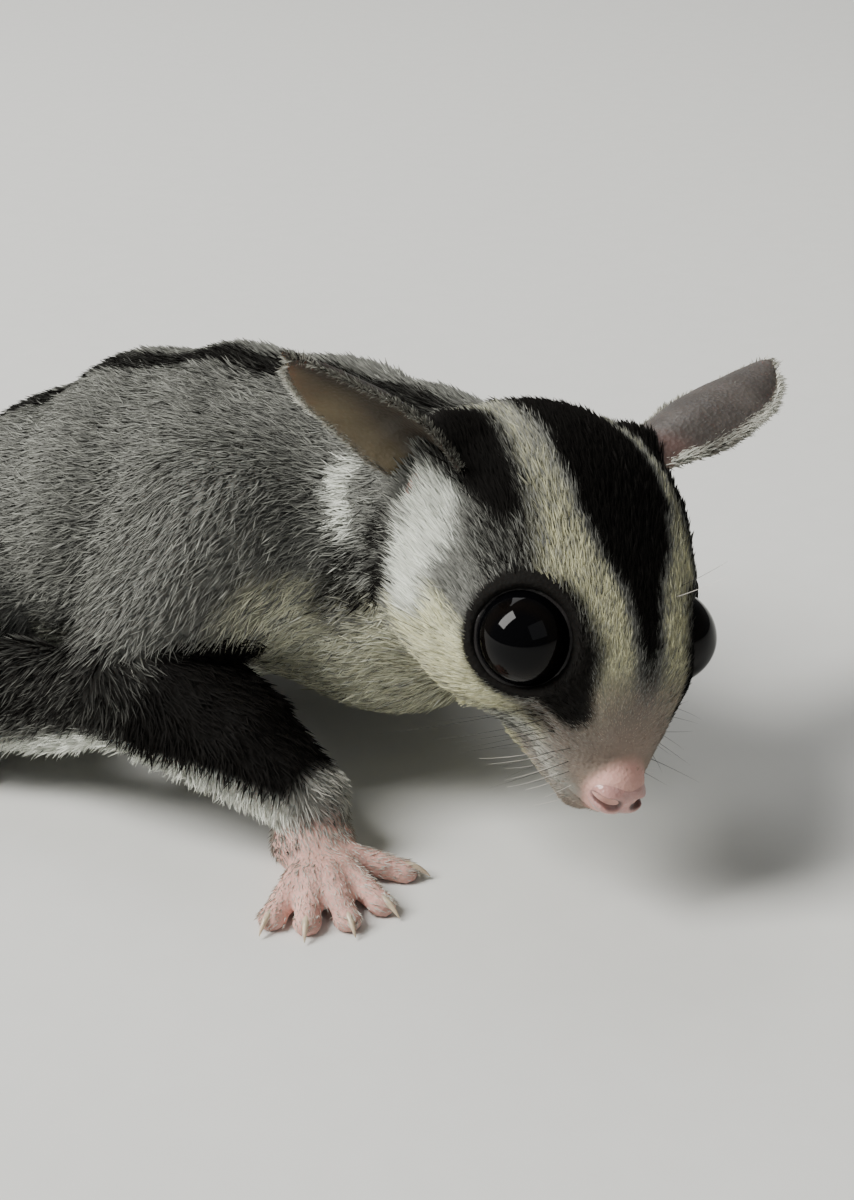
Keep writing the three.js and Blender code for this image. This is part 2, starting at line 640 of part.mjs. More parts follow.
// An ear: a leaf bent into a cup, from a narrow root to a rounded tip. It is set by the way its length runs
// and the way from its front edge to its rear edge, in the head's own frame. Towards its tip it sweeps
// backwards and curls open, in millimetres.
const earPoses = {
  right: {
    side: 1,
    along: vec(-0.34, -0.796, 0.5),
    across: vec(-0.645, -0.19, -0.74),
    root: vec(2.1, -0.6, -2.6),
    sweep: 1.25,
    curl: 1.3,
  },
  left: {
    side: -1,
    along: vec(-0.353, 0.907, 0.231),
    across: vec(-0.796, -0.161, -0.584),
    root: vec(0.2, 1.6, 1.1),
    sweep: 1.9,
    curl: -2.5,
  },
};

// Each pair: how far along the ear, and the share of its full width there
const earOutline = [
  [-0.2, 0.5], [0, 0.66], [0.2, 0.92], [0.4, 1],
  [0.6, 0.92], [0.8, 0.64], [0.93, 0.34], [1, 0.08],
];
function earSolid(pose) {
  const along = pose.along.clone().normalize();
  const across = pose.across.clone().projectOnPlane(along).normalize();
  const opening = along.clone().cross(across).multiplyScalar(pose.side);
  const root = mirrored(earRoot, pose.side).add(pose.root);
  const arc = 6;
  const sections = earOutline.map(([t, share]) => {
    const half = (earWidth / 2) * share;
    const depth = earDepth * share * (1.15 - 0.5 * Math.max(t, 0));
    const thick = earThickness * (t > 0.85 ? 0.6 : 1);
    const point = (u, lift) => root.clone()
      .addScaledVector(along, earLength * t + 0.9 * (1 - u * u) * t)
      .addScaledVector(across, half * u + pose.sweep * t * t)
      .addScaledVector(opening, depth * (u * u - 1) + lift + pose.curl * t * t);
    const steps = Array.from({ length: arc + 1 }, (_, n) => -1 + (2 * n) / arc);
    const inner = steps.map((u) => point(u, thick / 2));
    const outer = steps.map((u) => point(u * 1.02, -thick / 2)).reverse();
    return pose.side > 0 ? [...inner, ...outer].reverse() : [...inner, ...outer];
  });
  return solidOf(new LoftGeometry(sections, { capStart: true, capEnd: true }));
}
function buildEar(pose) {
  const nearby = meshOf((p) => wholeOnHead(p) - seam, vec(-22, -22, -26), vec(24, 22, 20), cellOf.head);
  return largestOf(inWorld(earSolid(pose).subtract(solidOf(nearby))));
}

function buildLimb(name) {
  const [low, high] = limbBoxes[name];
  const flat = name.startsWith('membrane');
  const region = solidOf(meshOf(wholeForm, low, high, flat ? cellOf.membrane : cellOf.leg));
  const own = region.subtract(belowFloor).intersect(limbSpaces[name].narrow);
  if (flat) return largestOf(pawless(own));
  const bare = own.subtract(limbSpaces.membrane_right.wide).subtract(limbSpaces.membrane_left.wide);
  const paw = name.replace('hindleg', 'hindfoot').replace('foreleg', 'forepaw');
  return largestOf(pawless(bare.intersect(behind(pawCuts[paw]))));
}

// The coat of the tail: a core, and flat locks laid over one another that run back from it
const tailCurve = new THREE.CatmullRomCurve3([
  tailRoot, vec(-108, 13, 9.4), vec(-128, 15.5, 9.6), vec(-156, 22, 9.8),
  vec(-190, 30, 9.8), vec(-222, 33, 9.2), vec(-250, 30, 8), vec(-268, 25, 6.4),
], false, 'centripetal');
const tailGirth = [[0, 6.2], [0.1, 8.6], [0.3, 11], [0.6, 11.5], [0.85, 9.4], [0.95, 6.4], [1, 2]];
function girthAt(t) {
  const next = tailGirth.findIndex(([at]) => at >= t);
  const [[t0, r0], [t1, r1]] = [tailGirth[Math.max(next - 1, 0)], tailGirth[Math.max(next, 1)]];
  return mix(r0, r1, clamp((t - t0) / (t1 - t0), 0, 1));
}

function tailCore(share) {
  const steps = 18;
  const points = Array.from({ length: steps + 1 }, (_, i) => tailCurve.getPointAt(i / steps));
  const radii = points.map((_, i) => girthAt(i / steps) * share);
  return taperedTube(points, radii, 10, steps);
}

// One lock: a flat leaf with its root sunk in the core and its tip at the outside of the coat. It runs back
// along the tail from a place and an angle round it. The locks that open a length are deep at their roots,
// so that the coat there starts as full as the length before it ends.
const coreShare = 0.46;
const lockLength = 30;
const stationsOf = {
  sunk: [[0, 0.34, 0.5, 1], [0.42, 0.78, 1, 2.1], [1, 1.03, 0.08, 0.25]],
  deep: [[0, 0.64, 1, 4.4], [0.45, 0.86, 0.95, 2.6], [1, 1.03, 0.08, 0.25]],
};
function tailLock(start, angle, width, stations, draw) {
  const length = lockLength * mix(0.85, 1.1, draw());
  const swing = mix(-0.16, 0.16, draw());
  const sections = stations.map(([along, height, breadth, thick]) => {
    const t = Math.min(start + (along * length) / tailLength, 1);
    const past = Math.max(start * tailLength + along * length - tailLength, 0);
    const tangent = tailCurve.getTangentAt(t);
    const side = vec(-tangent.y, tangent.x, 0).normalize();
    const up = side.clone().cross(tangent).normalize().negate();
    const turn = angle + swing * along;
    const out = side.clone().multiplyScalar(Math.cos(turn)).addScaledVector(up, Math.sin(turn));
    const across = side.clone().multiplyScalar(-Math.sin(turn)).addScaledVector(up, Math.cos(turn));
    const girth = girthAt(Math.min(start + (0.6 * along * length) / tailLength, 1));
    const centre = tailCurve.getPointAt(t)
      .addScaledVector(out, girth * height)
      .addScaledVector(tangent, past);
    const half = (width * breadth * Math.min(1, girth / 9)) / 2;
    const thin = thick * Math.min(1, girth / 10);
    return [[-half, -0.35], [0, 0.5], [half, -0.35], [0, -0.5]].map(([aside, lift]) => centre.clone()
      .addScaledVector(across, aside)
      .addScaledVector(out, lift * thin));
  });
  return solidOf(new LoftGeometry(sections, { capStart: true, capEnd: true }));
}

// Rows of locks in each length: how far along it they start, how many go round, and how broad they are
const tailParts = [0, 0.26, 0.51, 0.76];
const lockRows = [
  { after: 0, around: 6, width: 12.5, kind: 'deep' },
  { after: 0.08, around: 4, width: 11.5, kind: 'sunk' },
  { after: 0.16, around: 4, width: 11.5, kind: 'sunk' },
];
function tailLocks() {
  const draw = seededDraw(7);
  return tailParts.flatMap((from, part) => lockRows.flatMap((row, r) => {
    return Array.from({ length: row.around }, (_, n) => {
      const place = n + (r % 2) / 2 + part * 0.31 + mix(-0.1, 0.1, draw());
      const start = from + row.after - 0.004 + mix(0, 0.012, draw());
      const angle = (2 * Math.PI * place) / row.around;
      return tailLock(Math.max(start, 0), angle, row.width, stationsOf[row.kind], draw);
    });
  }));
}
function buildTail() {
  const whole = together([tailCore(coreShare), ...tailLocks()]).subtract(belowFloor);
  const cuts = tailParts.map((t) => (t === 0 ? tailCut : {
    at: tailCurve.getPointAt(t),
    out: tailCurve.getTangentAt(t),
  }));
  return cuts.map((cut, n) => {
    const started = whole.intersect(before(cut));
    return largestOf(n + 1 < cuts.length ? started.intersect(behind(cuts[n + 1])) : started);
  });
}

const group = new THREE.Group();
function place(name, solid, look) {
  const mesh = new THREE.Mesh(geometryOf(solid), new THREE.MeshStandardMaterial(look));
  mesh.name = name;
  group.add(mesh);
}

const trunkNodes = buildTrunkNodes();
place('torso', trunkNodes.torso, fur.grey);
place('neck', trunkNodes.neck, fur.grey);
place('head', buildHead(), fur.grey);
place('nose', buildNose(), fur.skin);
place('eye_right', buildEye(1), fur.eye);
place('eye_left', buildEye(-1), fur.eye);
place('ear_right', buildEar(earPoses.right), fur.skin);
place('ear_left', buildEar(earPoses.left), fur.skin);
for (const name of limbNames) place(name, buildLimb(name), fur.grey);
for (const name of pawNames) place(name, buildPaw(name), fur.skin);
buildTail().forEach((solid, n) => place(`tail_${n + 1}`, solid, fur.grey));

// The origin goes under the middle of the whole animal
const bounds = new THREE.Box3().setFromObject(group);
group.position.set(-(bounds.min.x + bounds.max.x) / 2, -(bounds.min.y + bounds.max.y) / 2, 0);

export default group;
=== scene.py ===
"""Sugar glider, still life-size model: skin, coat, eyes, ears, nose, claws and whiskers round the CAD."""

import math

import bpy
import numpy as np
import openvdb
from bpy.props import FloatProperty, FloatVectorProperty, IntProperty, PointerProperty
from mathutils import Euler, Matrix, Vector, kdtree


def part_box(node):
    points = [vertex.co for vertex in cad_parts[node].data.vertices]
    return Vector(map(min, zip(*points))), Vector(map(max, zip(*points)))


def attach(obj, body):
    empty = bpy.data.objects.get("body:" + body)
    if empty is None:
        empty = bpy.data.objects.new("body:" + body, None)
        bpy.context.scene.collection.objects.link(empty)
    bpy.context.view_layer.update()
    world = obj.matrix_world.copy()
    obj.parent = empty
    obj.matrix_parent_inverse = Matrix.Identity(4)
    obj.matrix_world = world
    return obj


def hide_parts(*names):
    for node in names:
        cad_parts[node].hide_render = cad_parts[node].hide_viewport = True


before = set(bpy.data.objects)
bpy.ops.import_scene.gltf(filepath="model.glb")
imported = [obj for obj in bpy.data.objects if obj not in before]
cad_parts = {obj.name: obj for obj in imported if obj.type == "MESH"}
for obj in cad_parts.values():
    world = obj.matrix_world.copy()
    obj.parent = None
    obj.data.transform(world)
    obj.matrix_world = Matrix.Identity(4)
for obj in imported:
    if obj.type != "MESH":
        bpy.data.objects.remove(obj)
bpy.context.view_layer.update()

bl_info = {
    "name": "Sugar glider model",
    "version": (1, 0, 0),
    "blender": (4, 5, 0),
    "location": "View3D > Sidebar > Glider",
    "description": "Builds the skin and coat of a life-size sugar glider round its CAD frame",
    "category": "Object",
}

# Lengths here are millimetres in the animal's own axes: x to the front, y to its left, z up from the floor.
MM = 0.001
RIGHT, LEFT = 1, -1
# A distance that counts as far away
FAR = 99.0


def vec(*xyz):
    return np.array(xyz, np.float64)


def unit(v):
    v = np.asarray(v, np.float64)
    return v / np.maximum(np.linalg.norm(v, axis=-1, keepdims=True), 1e-9)


def smooth(low, high, value):
    t = np.clip((value - low) / (high - low), 0, 1)
    return t * t * (3 - 2 * t)


def mix(a, b, t):
    return a + (b - a) * t


# ---------------------------------------------------------------- the head's own frame

HEAD_PLACE = vec(0, 0, 27)
HEAD_REACH = 30.0
HEAD_TURN = np.array(Euler([math.radians(a) for a in (-17.4, 26.6, -46)], "XYZ").to_matrix())


def on_head(p):
    return np.asarray(p, np.float64) @ HEAD_TURN.T + HEAD_PLACE


def in_head(p):
    return (p - HEAD_PLACE) @ HEAD_TURN


def near_side(h):
    """Points in the head's frame, with those of its left side mirrored to the right."""
    q = h.copy()
    q[:, 1] = -np.abs(q[:, 1])
    return q


EYE_CENTRE = vec(5.5, -7.8, 0.8)
GAZE = unit(vec(0.57, -0.69, 0.43))
EYE_RADIUS = 4.7
EYE_OPENING = 65.5
NOSE_CENTRE = vec(17.9, 0, -6.1)
EAR_ROOT = vec(-13.6, -11.2, 5.4)
EAR_CANAL = EAR_ROOT + vec(3.2, -2.6, -3.4)
EAR_LENGTH, EAR_WIDTH, EAR_DEPTH = 19.5, 12.4, 2.6
LIP_LINE = [(4.5, 8.2), (7.5, 8.6), (10.5, 8.8), (13.2, 8.8), (15.4, 8.6)]


def mirrored(v, side):
    return vec(v[0], v[1] * side, v[2])


# The frame's origin stands under the middle of the animal, so one known point tells how far that is
def frame_shift():
    low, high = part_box("eye_right")
    return np.array((low + high) / 2) / MM - on_head(EYE_CENTRE)


SHIFT = frame_shift()


# ---------------------------------------------------------------- distance fields of the forms


def ellipsoid(p, centre, radii):
    r = np.asarray(radii, np.float64)
    q = (p - centre) / r
    near = np.sqrt((q * q).sum(1)) + 1e-5
    slope = np.sqrt(((q / r) ** 2).sum(1)) + 1e-6
    return near * (near - 1) / slope


def nearest_on_line(p, points):
    """Distance to a row of straight lines, how far along the row the nearest place is, and the way it runs."""
    best = np.full(len(p), 1e9)
    place = np.zeros(len(p))
    way = np.zeros((len(p), 3))
    for i, (a, b) in enumerate(zip(points, points[1:])):
        along = b - a
        t = np.clip((p - a) @ along / (along @ along), 0, 1)
        far = np.linalg.norm(p - a - t[:, None] * along, axis=1)
        closer = far < best
        best[closer] = far[closer]
        place[closer] = i + t[closer]
        way[closer] = unit(along)
    return best, place, way


def rod(p, points, radii):
    nearest = np.full(len(p), FAR)
    for a, b, ra, rb in zip(points, points[1:], radii, radii[1:]):
        along = b - a
        t = np.clip((p - a) @ along / (along @ along), 0, 1)
        far = np.linalg.norm(p - a - t[:, None] * along, axis=1)
        nearest = np.minimum(nearest, far - mix(ra, rb, t))
    return nearest


def blend(a, b, width):
    h = np.maximum(width - np.abs(a - b), 0) / width
    return np.minimum(a, b) - h * h * width / 4


def joined(fields, width):
    total = fields[0]
    for field in fields[1:]:
        total = blend(total, field, width)
    return total


def curve_points(points, count):
    """Evenly spaced points on a centripetal spline, the ways it runs there, and its length."""
    pts = np.array(points, np.float64)
    ends = np.vstack([2 * pts[0] - pts[1], pts, 2 * pts[-1] - pts[-2]])
    knots = np.concatenate([[0], np.cumsum(np.linalg.norm(np.diff(ends, axis=0), axis=1) ** 0.5)])
    rows = []
    for i in range(1, len(ends) - 2):
        t0, t1, t2, t3 = knots[i - 1:i + 3]
        t = np.linspace(t1, t2, 24, endpoint=False)[:, None]
        p0, p1, p2, p3 = ends[i - 1:i + 3]
        a1 = (t1 - t) / (t1 - t0) * p0 + (t - t0) / (t1 - t0) * p1
        a2 = (t2 - t) / (t2 - t1) * p1 + (t - t1) / (t2 - t1) * p2
        a3 = (t3 - t) / (t3 - t2) * p2 + (t - t2) / (t3 - t2) * p3
        b1 = (t2 - t) / (t2 - t0) * a1 + (t - t0) / (t2 - t0) * a2
        b2 = (t3 - t) / (t3 - t1) * a2 + (t - t1) / (t3 - t1) * a3
        rows.append((t2 - t) / (t2 - t1) * b1 + (t - t1) / (t2 - t1) * b2)
    dense = np.vstack(rows + [pts[-1:]])
    run = np.concatenate([[0], np.cumsum(np.linalg.norm(np.diff(dense, axis=0), axis=1))])
    at = np.linspace(0, run[-1], count)
    line = np.stack([np.interp(at, run, dense[:, k]) for k in range(3)], 1)
    return line, unit(np.gradient(line, axis=0)), run[-1]


# ---------------------------------------------------------------- body forms, as in the CAD

TRUNK = [
    (vec(-12, 8, 28), 14, 12.8), (vec(-22, 12, 26.4), 16.5, 15.6), (vec(-33, 14, 25.2), 18.5, 17.8),
    (vec(-44, 14.5, 24.2), 20, 19.4), (vec(-55, 14.5, 22.6), 21, 19.3), (vec(-66, 14, 19.2), 21.5, 17.2),
    (vec(-77, 13.5, 16.2), 19.5, 14.4), (vec(-87, 13, 13.2), 14.5, 11.4),
]
TAIL_ROOT = vec(-94, 12.6, 10.2)
# How far to its left the middle line of the body runs
BODY_MIDDLE = 13
LEGS = {
    "foreleg_right": ([vec(-36, 0, 29), vec(-44.5, -8.2, 17), vec(-31.5, -9.8, 11.8), vec(-24.2, -10.8, 6.6)],
                      [9.6, 7.4, 5.6, 4]),
    "foreleg_left": ([vec(-35, 27, 28), vec(-43, 36, 16.5), vec(-30, 37, 10), vec(-21, 36.5, 5.4)],
                     [9.6, 7.4, 5.6, 4]),
    "hindleg_right": ([vec(-82, 4, 17), vec(-69, -6.4, 14.5), vec(-85, -8.5, 7.5), vec(-87.5, -8.6, 4.6)],
                      [10.5, 8.4, 4.6, 3.6]),
    "hindleg_left": ([vec(-82, 23, 17), vec(-70, 34.5, 14.5), vec(-87, 36.5, 7.5), vec(-89.5, 36.6, 4.6)],
                     [10.5, 8.4, 4.6, 3.6]),
}
# Each fold: where it hangs, its depth and its half thickness
FOLDS = {
    "membrane_right": [
        (vec(-25.5, -13.6, 7.4), 2, 1.5), (vec(-34, -14, 10.6), 2.7, 1.8), (vec(-45, -13.6, 14.2), 4.2, 2.4),
        (vec(-55, -10.4, 12.5), 6.6, 3.4), (vec(-66, -11, 10.4), 6.4, 3.6), (vec(-77, -12.4, 8.4), 5.2, 3),
        (vec(-85, -12, 5.4), 2.8, 1.8),
    ],
    "membrane_left": [
        (vec(-21.5, 38.8, 5.6), 2, 1.5), (vec(-31, 40.6, 8.4), 3.6, 1.9), (vec(-43, 41.2, 13), 5.2, 2.4),
        (vec(-54, 38.6, 12.5), 6.6, 3.4), (vec(-66, 39.2, 10.4), 6.4, 3.6), (vec(-78, 40.4, 8.4), 5.2, 3),
        (vec(-87, 40, 5.4), 2.8, 1.8),
    ],
}
# Each paw: the wrist, the middle of the palm, the way it points in degrees and its side
PAWS = {
    "forepaw_right": (vec(-24.2, -10.8, 6.6), vec(-22.8, -13.1, 2.7), -50, RIGHT),
    "forepaw_left": (vec(-21, 36.5, 5.4), vec(-17.6, 36.2, 2.6), -6, LEFT),
    "hindfoot_right": (vec(-87.5, -8.6, 4.6), vec(-79.5, -10, 2.5), -10, RIGHT),
    "hindfoot_left": (vec(-89.5, 36.6, 4.6), vec(-81.5, 38, 2.5), 10, LEFT),
}
PALM_RADII = {"fore": vec(4.6, 4.4, 3.2), "hind": vec(8.6, 3.2, 2.9)}
# Each toe: its direction in degrees, its length, its arch and whether it bears a claw
TOES = {
    "fore": [(-42, 9.6, 1.8, 1), (-20, 9.8, 2.4, 1), (3, 10, 2.6, 1), (27, 9.6, 2.2, 1), (66, 8.8, 1.8, 1)],
    "hind": [(-34, 10.5, 1.4, 1), (-12, 12.5, 1.7, 1), (9, 11, 1.6, 1), (24, 9.8, 1.4, 1), (100, 8, 1, 0)],
}
TOE_RADIUS, CLAW_LENGTH = 1.4, 2.5
TAIL_LINE = curve_points([
    TAIL_ROOT, vec(-108, 13, 9.4), vec(-128, 15.5, 9.6), vec(-156, 22, 9.8),
    vec(-190, 30, 9.8), vec(-222, 33, 9.2), vec(-250, 30, 8), vec(-268, 25, 6.4),
], 61)[0]
TAIL_GIRTH = ([0, 0.1, 0.3, 0.6, 0.85, 0.95, 1], [6.2, 8.6, 11, 11.5, 9.4, 6.4, 2])
# The skin of the tail takes this share of the girth of its coat
TAIL_CORE = 0.4


def flat_way(turn):
    return vec(math.cos(turn), math.sin(turn), 0)


def toes_of(name):
    """For each toe of a paw: its line, the way it points, its length and whether it bears a claw."""
    _, palm, facing, side = PAWS[name]
    kind = name[:4]
    ahead = math.radians(facing)
    made = []
    for turn, length, arch, clawed in TOES[kind]:
        reach = -2 if abs(turn) > 80 else PALM_RADII[kind][0] * 0.4
        root = palm + flat_way(ahead) * reach
        way = flat_way(ahead + math.radians(turn) * side)
        line = [root + way * length * t + vec(0, 0, z - root[2]) for t, z in
                ((0, 1.9), (0.42, 1 + arch * 0.8), (0.72, 0.9 + arch * 0.3), (0.96, 0.85))]
        made.append((line, way, length, clawed))
    return made


def head_form(p, depth):
    """The head in its own frame, drawn in by the depth of the coat."""
    q = near_side(p)
    h = ellipsoid(p, vec(-6.5, 0, 1.5), vec(13.86, 14, 11.3))
    h = blend(h, ellipsoid(p, vec(4, 0, 1), vec(11.5, 9.8, 8.2)), 5)
    h = blend(h, rod(p, [vec(4, 0, -2.5), vec(12, 0, -4.6), vec(17, 0, -6)], [8.2, 5.6, 3.1]), 4)
    h = blend(h, rod(p, [vec(-4, 0, -6.6), vec(6, 0, -9.1), vec(14.2, 0, -10)], [6.8, 5, 2.7]), 2.5)
    h = blend(h, ellipsoid(q, vec(-1.5, -8.6, -5), vec(8.5, 5.8, 6.2)), 5)
    h = blend(h, ellipsoid(q, EYE_CENTRE - 2 * GAZE, vec(6, 6, 6)), 3)
    h = blend(h, rod(q, [vec(-11, -8.6, 3), vec(-13, -10.4, 5)], [5, 3.8]), 4)
    # The pad of whiskers on each side of the muzzle and the chin below it
    h = blend(h, ellipsoid(q, vec(13.4, -2.6, -6.3), vec(3.6, 2.2, 2.3)), 1.6)
    return h + depth


def head_depth(p):
    """How deep the coat is on the head: thin on the muzzle and round the eyes, thicker to the rear."""
    q = near_side(p)
    deep = np.clip(0.16 + 0.032 * (14 - p[:, 0]), 0.12, 0.85)
    near_eye = np.exp(-(np.linalg.norm(q - EYE_CENTRE, axis=1) / 7.2) ** 4)
    return deep * (1 - 0.6 * near_eye)


def trunk_form(p):
    parts = [ellipsoid(p, at, vec(13.5, wide, high)) for at, wide, high in TRUNK]
    parts.append(ellipsoid(p, vec(-23, 8.5, 18.6), vec(13.5, 11.5, 12)))
    parts.append(rod(p, [vec(-88, 13, 12.5), TAIL_ROOT, vec(-112, 13, 9.2)], [8.5, 6.4, 6]))
    return joined(parts, 5)


def fold_form(p, stations):
    line, ways, _ = curve_points([s[0] for s in stations], 33)
    place = np.linspace(0, len(stations) - 1, 33)
    depths = np.interp(place, range(len(stations)), [s[1] for s in stations])
    halves = np.interp(place, range(len(stations)), [s[2] for s in stations])
    nearest = np.full(len(p), FAR)
    for at, along, depth, half in zip(line, ways, depths, halves):
        side = unit(vec(-along[1], along[0], 0))
        down = unit(np.cross(side, along))
        away = p - at
        turned = np.stack([away @ along, away @ side, away @ down], 1)
        nearest = np.minimum(nearest, ellipsoid(turned, 0, (depth, half, depth)))
    return nearest


def paw_form(p, name):
    wrist, palm, facing, _ = PAWS[name]
    kind = name[:4]
    turn = math.radians(facing)
    q = p - palm
    q = np.stack([q[:, 0] * math.cos(turn) + q[:, 1] * math.sin(turn),
                  -q[:, 0] * math.sin(turn) + q[:, 1] * math.cos(turn), q[:, 2]], 1)
    form = ellipsoid(q, vec(0, 0, 0), PALM_RADII[kind] * vec(0.94, 0.92, 0.86))
    form = blend(form, rod(p, [wrist, palm], [2.7, 2.3]), 2)
    for line, way, _, _ in toes_of(name):
        radii = [TOE_RADIUS * share for share in (1.15, 0.86, 0.92, 0.8)]
        toe = rod(p, line, radii)
        pad = ellipsoid(p, line[-1] + way * 0.1 + vec(0, 0, -0.1), vec(1.35, 1.25, 1))
        form = blend(form, blend(toe, pad, 0.6), 1.1)
    return form


def tail_form(p, share):
    far, place, _ = nearest_on_line(p, TAIL_LINE)
    return far - np.interp(place / (len(TAIL_LINE) - 1), *TAIL_GIRTH) * share


class Part:
    """One form of the body: the box it fills, its field and the depth of its coat."""

    def __init__(self, name, low, high, form, depth, width):
        self.name, self.low, self.high = name, np.array(low), np.array(high)
        self.form, self.depth, self.width = form, depth, width


def body_parts():
    parts = [
        Part("trunk", (-116, -10, -2), (6, 40, 50), trunk_form, 1.35, 5),
        Part("head", (-26, -28, 2), (20, 26, 50), lambda p: head_form(in_head(p), 0), None, 6),
    ]
    for name, (points, radii) in LEGS.items():
        low, high = np.min(points, 0) - 11, np.max(points, 0) + 11
        depth = 0.9 if name.startswith("fore") else 1.1
        parts.append(Part(name, low, high, lambda p, a=points, r=radii: rod(p, a, r), depth, 6))
    for name, stations in FOLDS.items():
        points = [s[0] for s in stations]
        low, high = np.min(points, 0) - 8, np.max(points, 0) + 8
        parts.append(Part(name, low, high, lambda p, s=stations: fold_form(p, s), 0.7, 3))
    for name, (_, palm, _, _) in PAWS.items():
        parts.append(Part(name, palm - vec(14, 13, 4), palm + vec(22, 13, 8),
                          lambda p, n=name: paw_form(p, n), 0.0, 1.6))
    parts.append(Part("tail", TAIL_LINE.min(0) - 12, TAIL_LINE.max(0) + 12,
                      lambda p: tail_form(p, TAIL_CORE), 0.0, 4))
    return parts


PARTS = body_parts()
MARGIN = 9


def part_fields(p, outer=False):
    """Each part's distance at each point, FAR where the part is far away."""
    rows = []
    for part in PARTS:
        field = np.full(len(p), FAR)
        near = ((p > part.low - MARGIN) & (p < part.high + MARGIN)).all(1)
        if near.any():
            q = p[near]
            value = part.form(q)
            if part.name == "head":
                value = value + (0 if outer else head_depth(in_head(q)))
            elif not outer:
                # The coat of a leg thins towards the wrist
                thin = smooth(3, 16, q[:, 2]) * 0.6 + 0.4 if "leg" in part.name else 1
                value = value + part.depth * thin
            field[near] = value
        rows.append(field)
    return rows


def lip_path():
    """The line of the mouth from one corner round the front to the other, in the head's frame."""
    sides = {}
    for side in (RIGHT, LEFT):
        starts = np.array([vec(x, 0, -z) for x, z in LIP_LINE])
        ways = unit(np.tile(vec(0.12, -side, -0.05), (len(starts), 1)))
        sides[side] = reach_skin(starts, ways)
    front = reach_skin(np.array([vec(14, 0, -8.5)]), np.array([vec(1.0, 0, 0)]))
    return np.vstack([sides[RIGHT], front, sides[LEFT][::-1]])


def reach_skin(starts, ways):
    low, high = np.zeros(len(starts)), np.full(len(starts), HEAD_REACH)
    for _ in range(24):
        half = (low + high) / 2
        p = starts + ways * half[:, None]
        inside = head_form(p, head_depth(p)) < 0
        low, high = np.where(inside, half, low), np.where(inside, high, half)
    return starts + ways * low[:, None]


LIPS = lip_path()


def skin_field(p):
    """The one skin under the coat: every form drawn in by its coat and blended into the next."""
    total = np.full(len(p), FAR)
    for part, field in zip(PARTS, part_fields(p)):
        total = blend(total, field, part.width)
    near = np.linalg.norm(p - HEAD_PLACE, axis=1) < HEAD_REACH
    if near.any():
        h = in_head(p[near])
        t = total[near]
        q = near_side(h)
        # Room for the eyes, the mouth's groove between its lips and the ear's opening
        away = q - EYE_CENTRE
        far = np.linalg.norm(away, axis=1)
        t = np.maximum(t, -(far - EYE_RADIUS - 0.1))
        # In front of each eye a funnel opens from just outside the rim of the lids
        ahead = away @ GAZE
        beside = np.sqrt(np.maximum(far ** 2 - ahead ** 2, 0))
        funnel = (beside - np.interp(ahead, [1.5, 1.8, 5, 9], [4.15, 4.42, 6.9, 9.5])) * 0.75
        t = np.maximum(t, -np.maximum(funnel, 1.55 - ahead))
        lips, _, _ = nearest_on_line(h, LIPS)
        t = t - 0.32 * np.exp(-((lips - 0.95) / 0.5) ** 2) + 0.75 * np.exp(-(lips / 0.42) ** 2)
        canal = rod(q, [EAR_CANAL, EAR_ROOT + vec(1.5, 2, -3)], [1.5, 1.0])
        t = np.maximum(t, -canal)
        total[near] = t
    return np.maximum(total, 0.06 - p[:, 2])


# ---------------------------------------------------------------- meshing the skin


def graded(low, high, cell_at):
    line = [low]
    while line[-1] < high:
        line.append(line[-1] + cell_at(line[-1]))
    return np.array(line)


def mesh_field(field, lines, block=8, band=5.0):
    """Meshes the zero level of a field on a graded grid. Only blocks near the surface are sampled finely."""
    shape = [int(math.ceil(len(line) / block) * block) for line in lines]
    lines = [np.concatenate([line, line[-1] + (np.arange(n - len(line)) + 1) * (line[-1] - line[-2])])
             for line, n in zip(lines, shape)]
    middles = [line.reshape(-1, block).mean(1) for line in lines]
    coarse_at = np.stack(np.meshgrid(*middles, indexing="ij"), -1).reshape(-1, 3)
    coarse = field(coarse_at)
    values = np.repeat(np.repeat(np.repeat(
        np.where(coarse > 0, 3.0, -3.0).reshape([len(m) for m in middles]),
        block, 0), block, 1), block, 2).astype(np.float32)
    spans = [line.reshape(-1, block)[:, -1] - line.reshape(-1, block)[:, 0] for line in lines]
    reach = np.sqrt(sum(s ** 2 for s in np.meshgrid(*spans, indexing="ij"))).reshape(-1) / 2
    close = np.nonzero(np.abs(coarse) < band * 0.5 + reach)[0]
    index = np.stack(np.unravel_index(close, [len(m) for m in middles]), 1) * block
    steps = np.stack(np.meshgrid(*[np.arange(block)] * 3, indexing="ij"), -1).reshape(-1, 3)
    for start in range(0, len(index), 900):
        cells = (index[start:start + 900, None, :] + steps[None]).reshape(-1, 3)
        at = np.stack([lines[k][cells[:, k]] for k in range(3)], 1)
        values[cells[:, 0], cells[:, 1], cells[:, 2]] = np.clip(field(at), -3, 3)
    values[0], values[-1], values[:, 0] = 3, 3, 3
    values[:, -1], values[:, :, 0], values[:, :, -1] = 3, 3, 3
    grid = openvdb.FloatGrid(3.0)
    grid.copyFromArray(values)
    points, _, quads = grid.convertToPolygons(isovalue=0.0, adaptivity=0.0)
    placed = np.stack([np.interp(points[:, k], np.arange(len(lines[k])), lines[k]) for k in range(3)], 1)
    return placed, quads


def vertex_normals(points, quads):
    a, b, c, d = (points[quads[:, k]] for k in range(4))
    face = np.cross(c - a, d - b)
    normal = np.zeros_like(points)
    for k in range(4):
        np.add.at(normal, quads[:, k], face)
    return unit(normal)


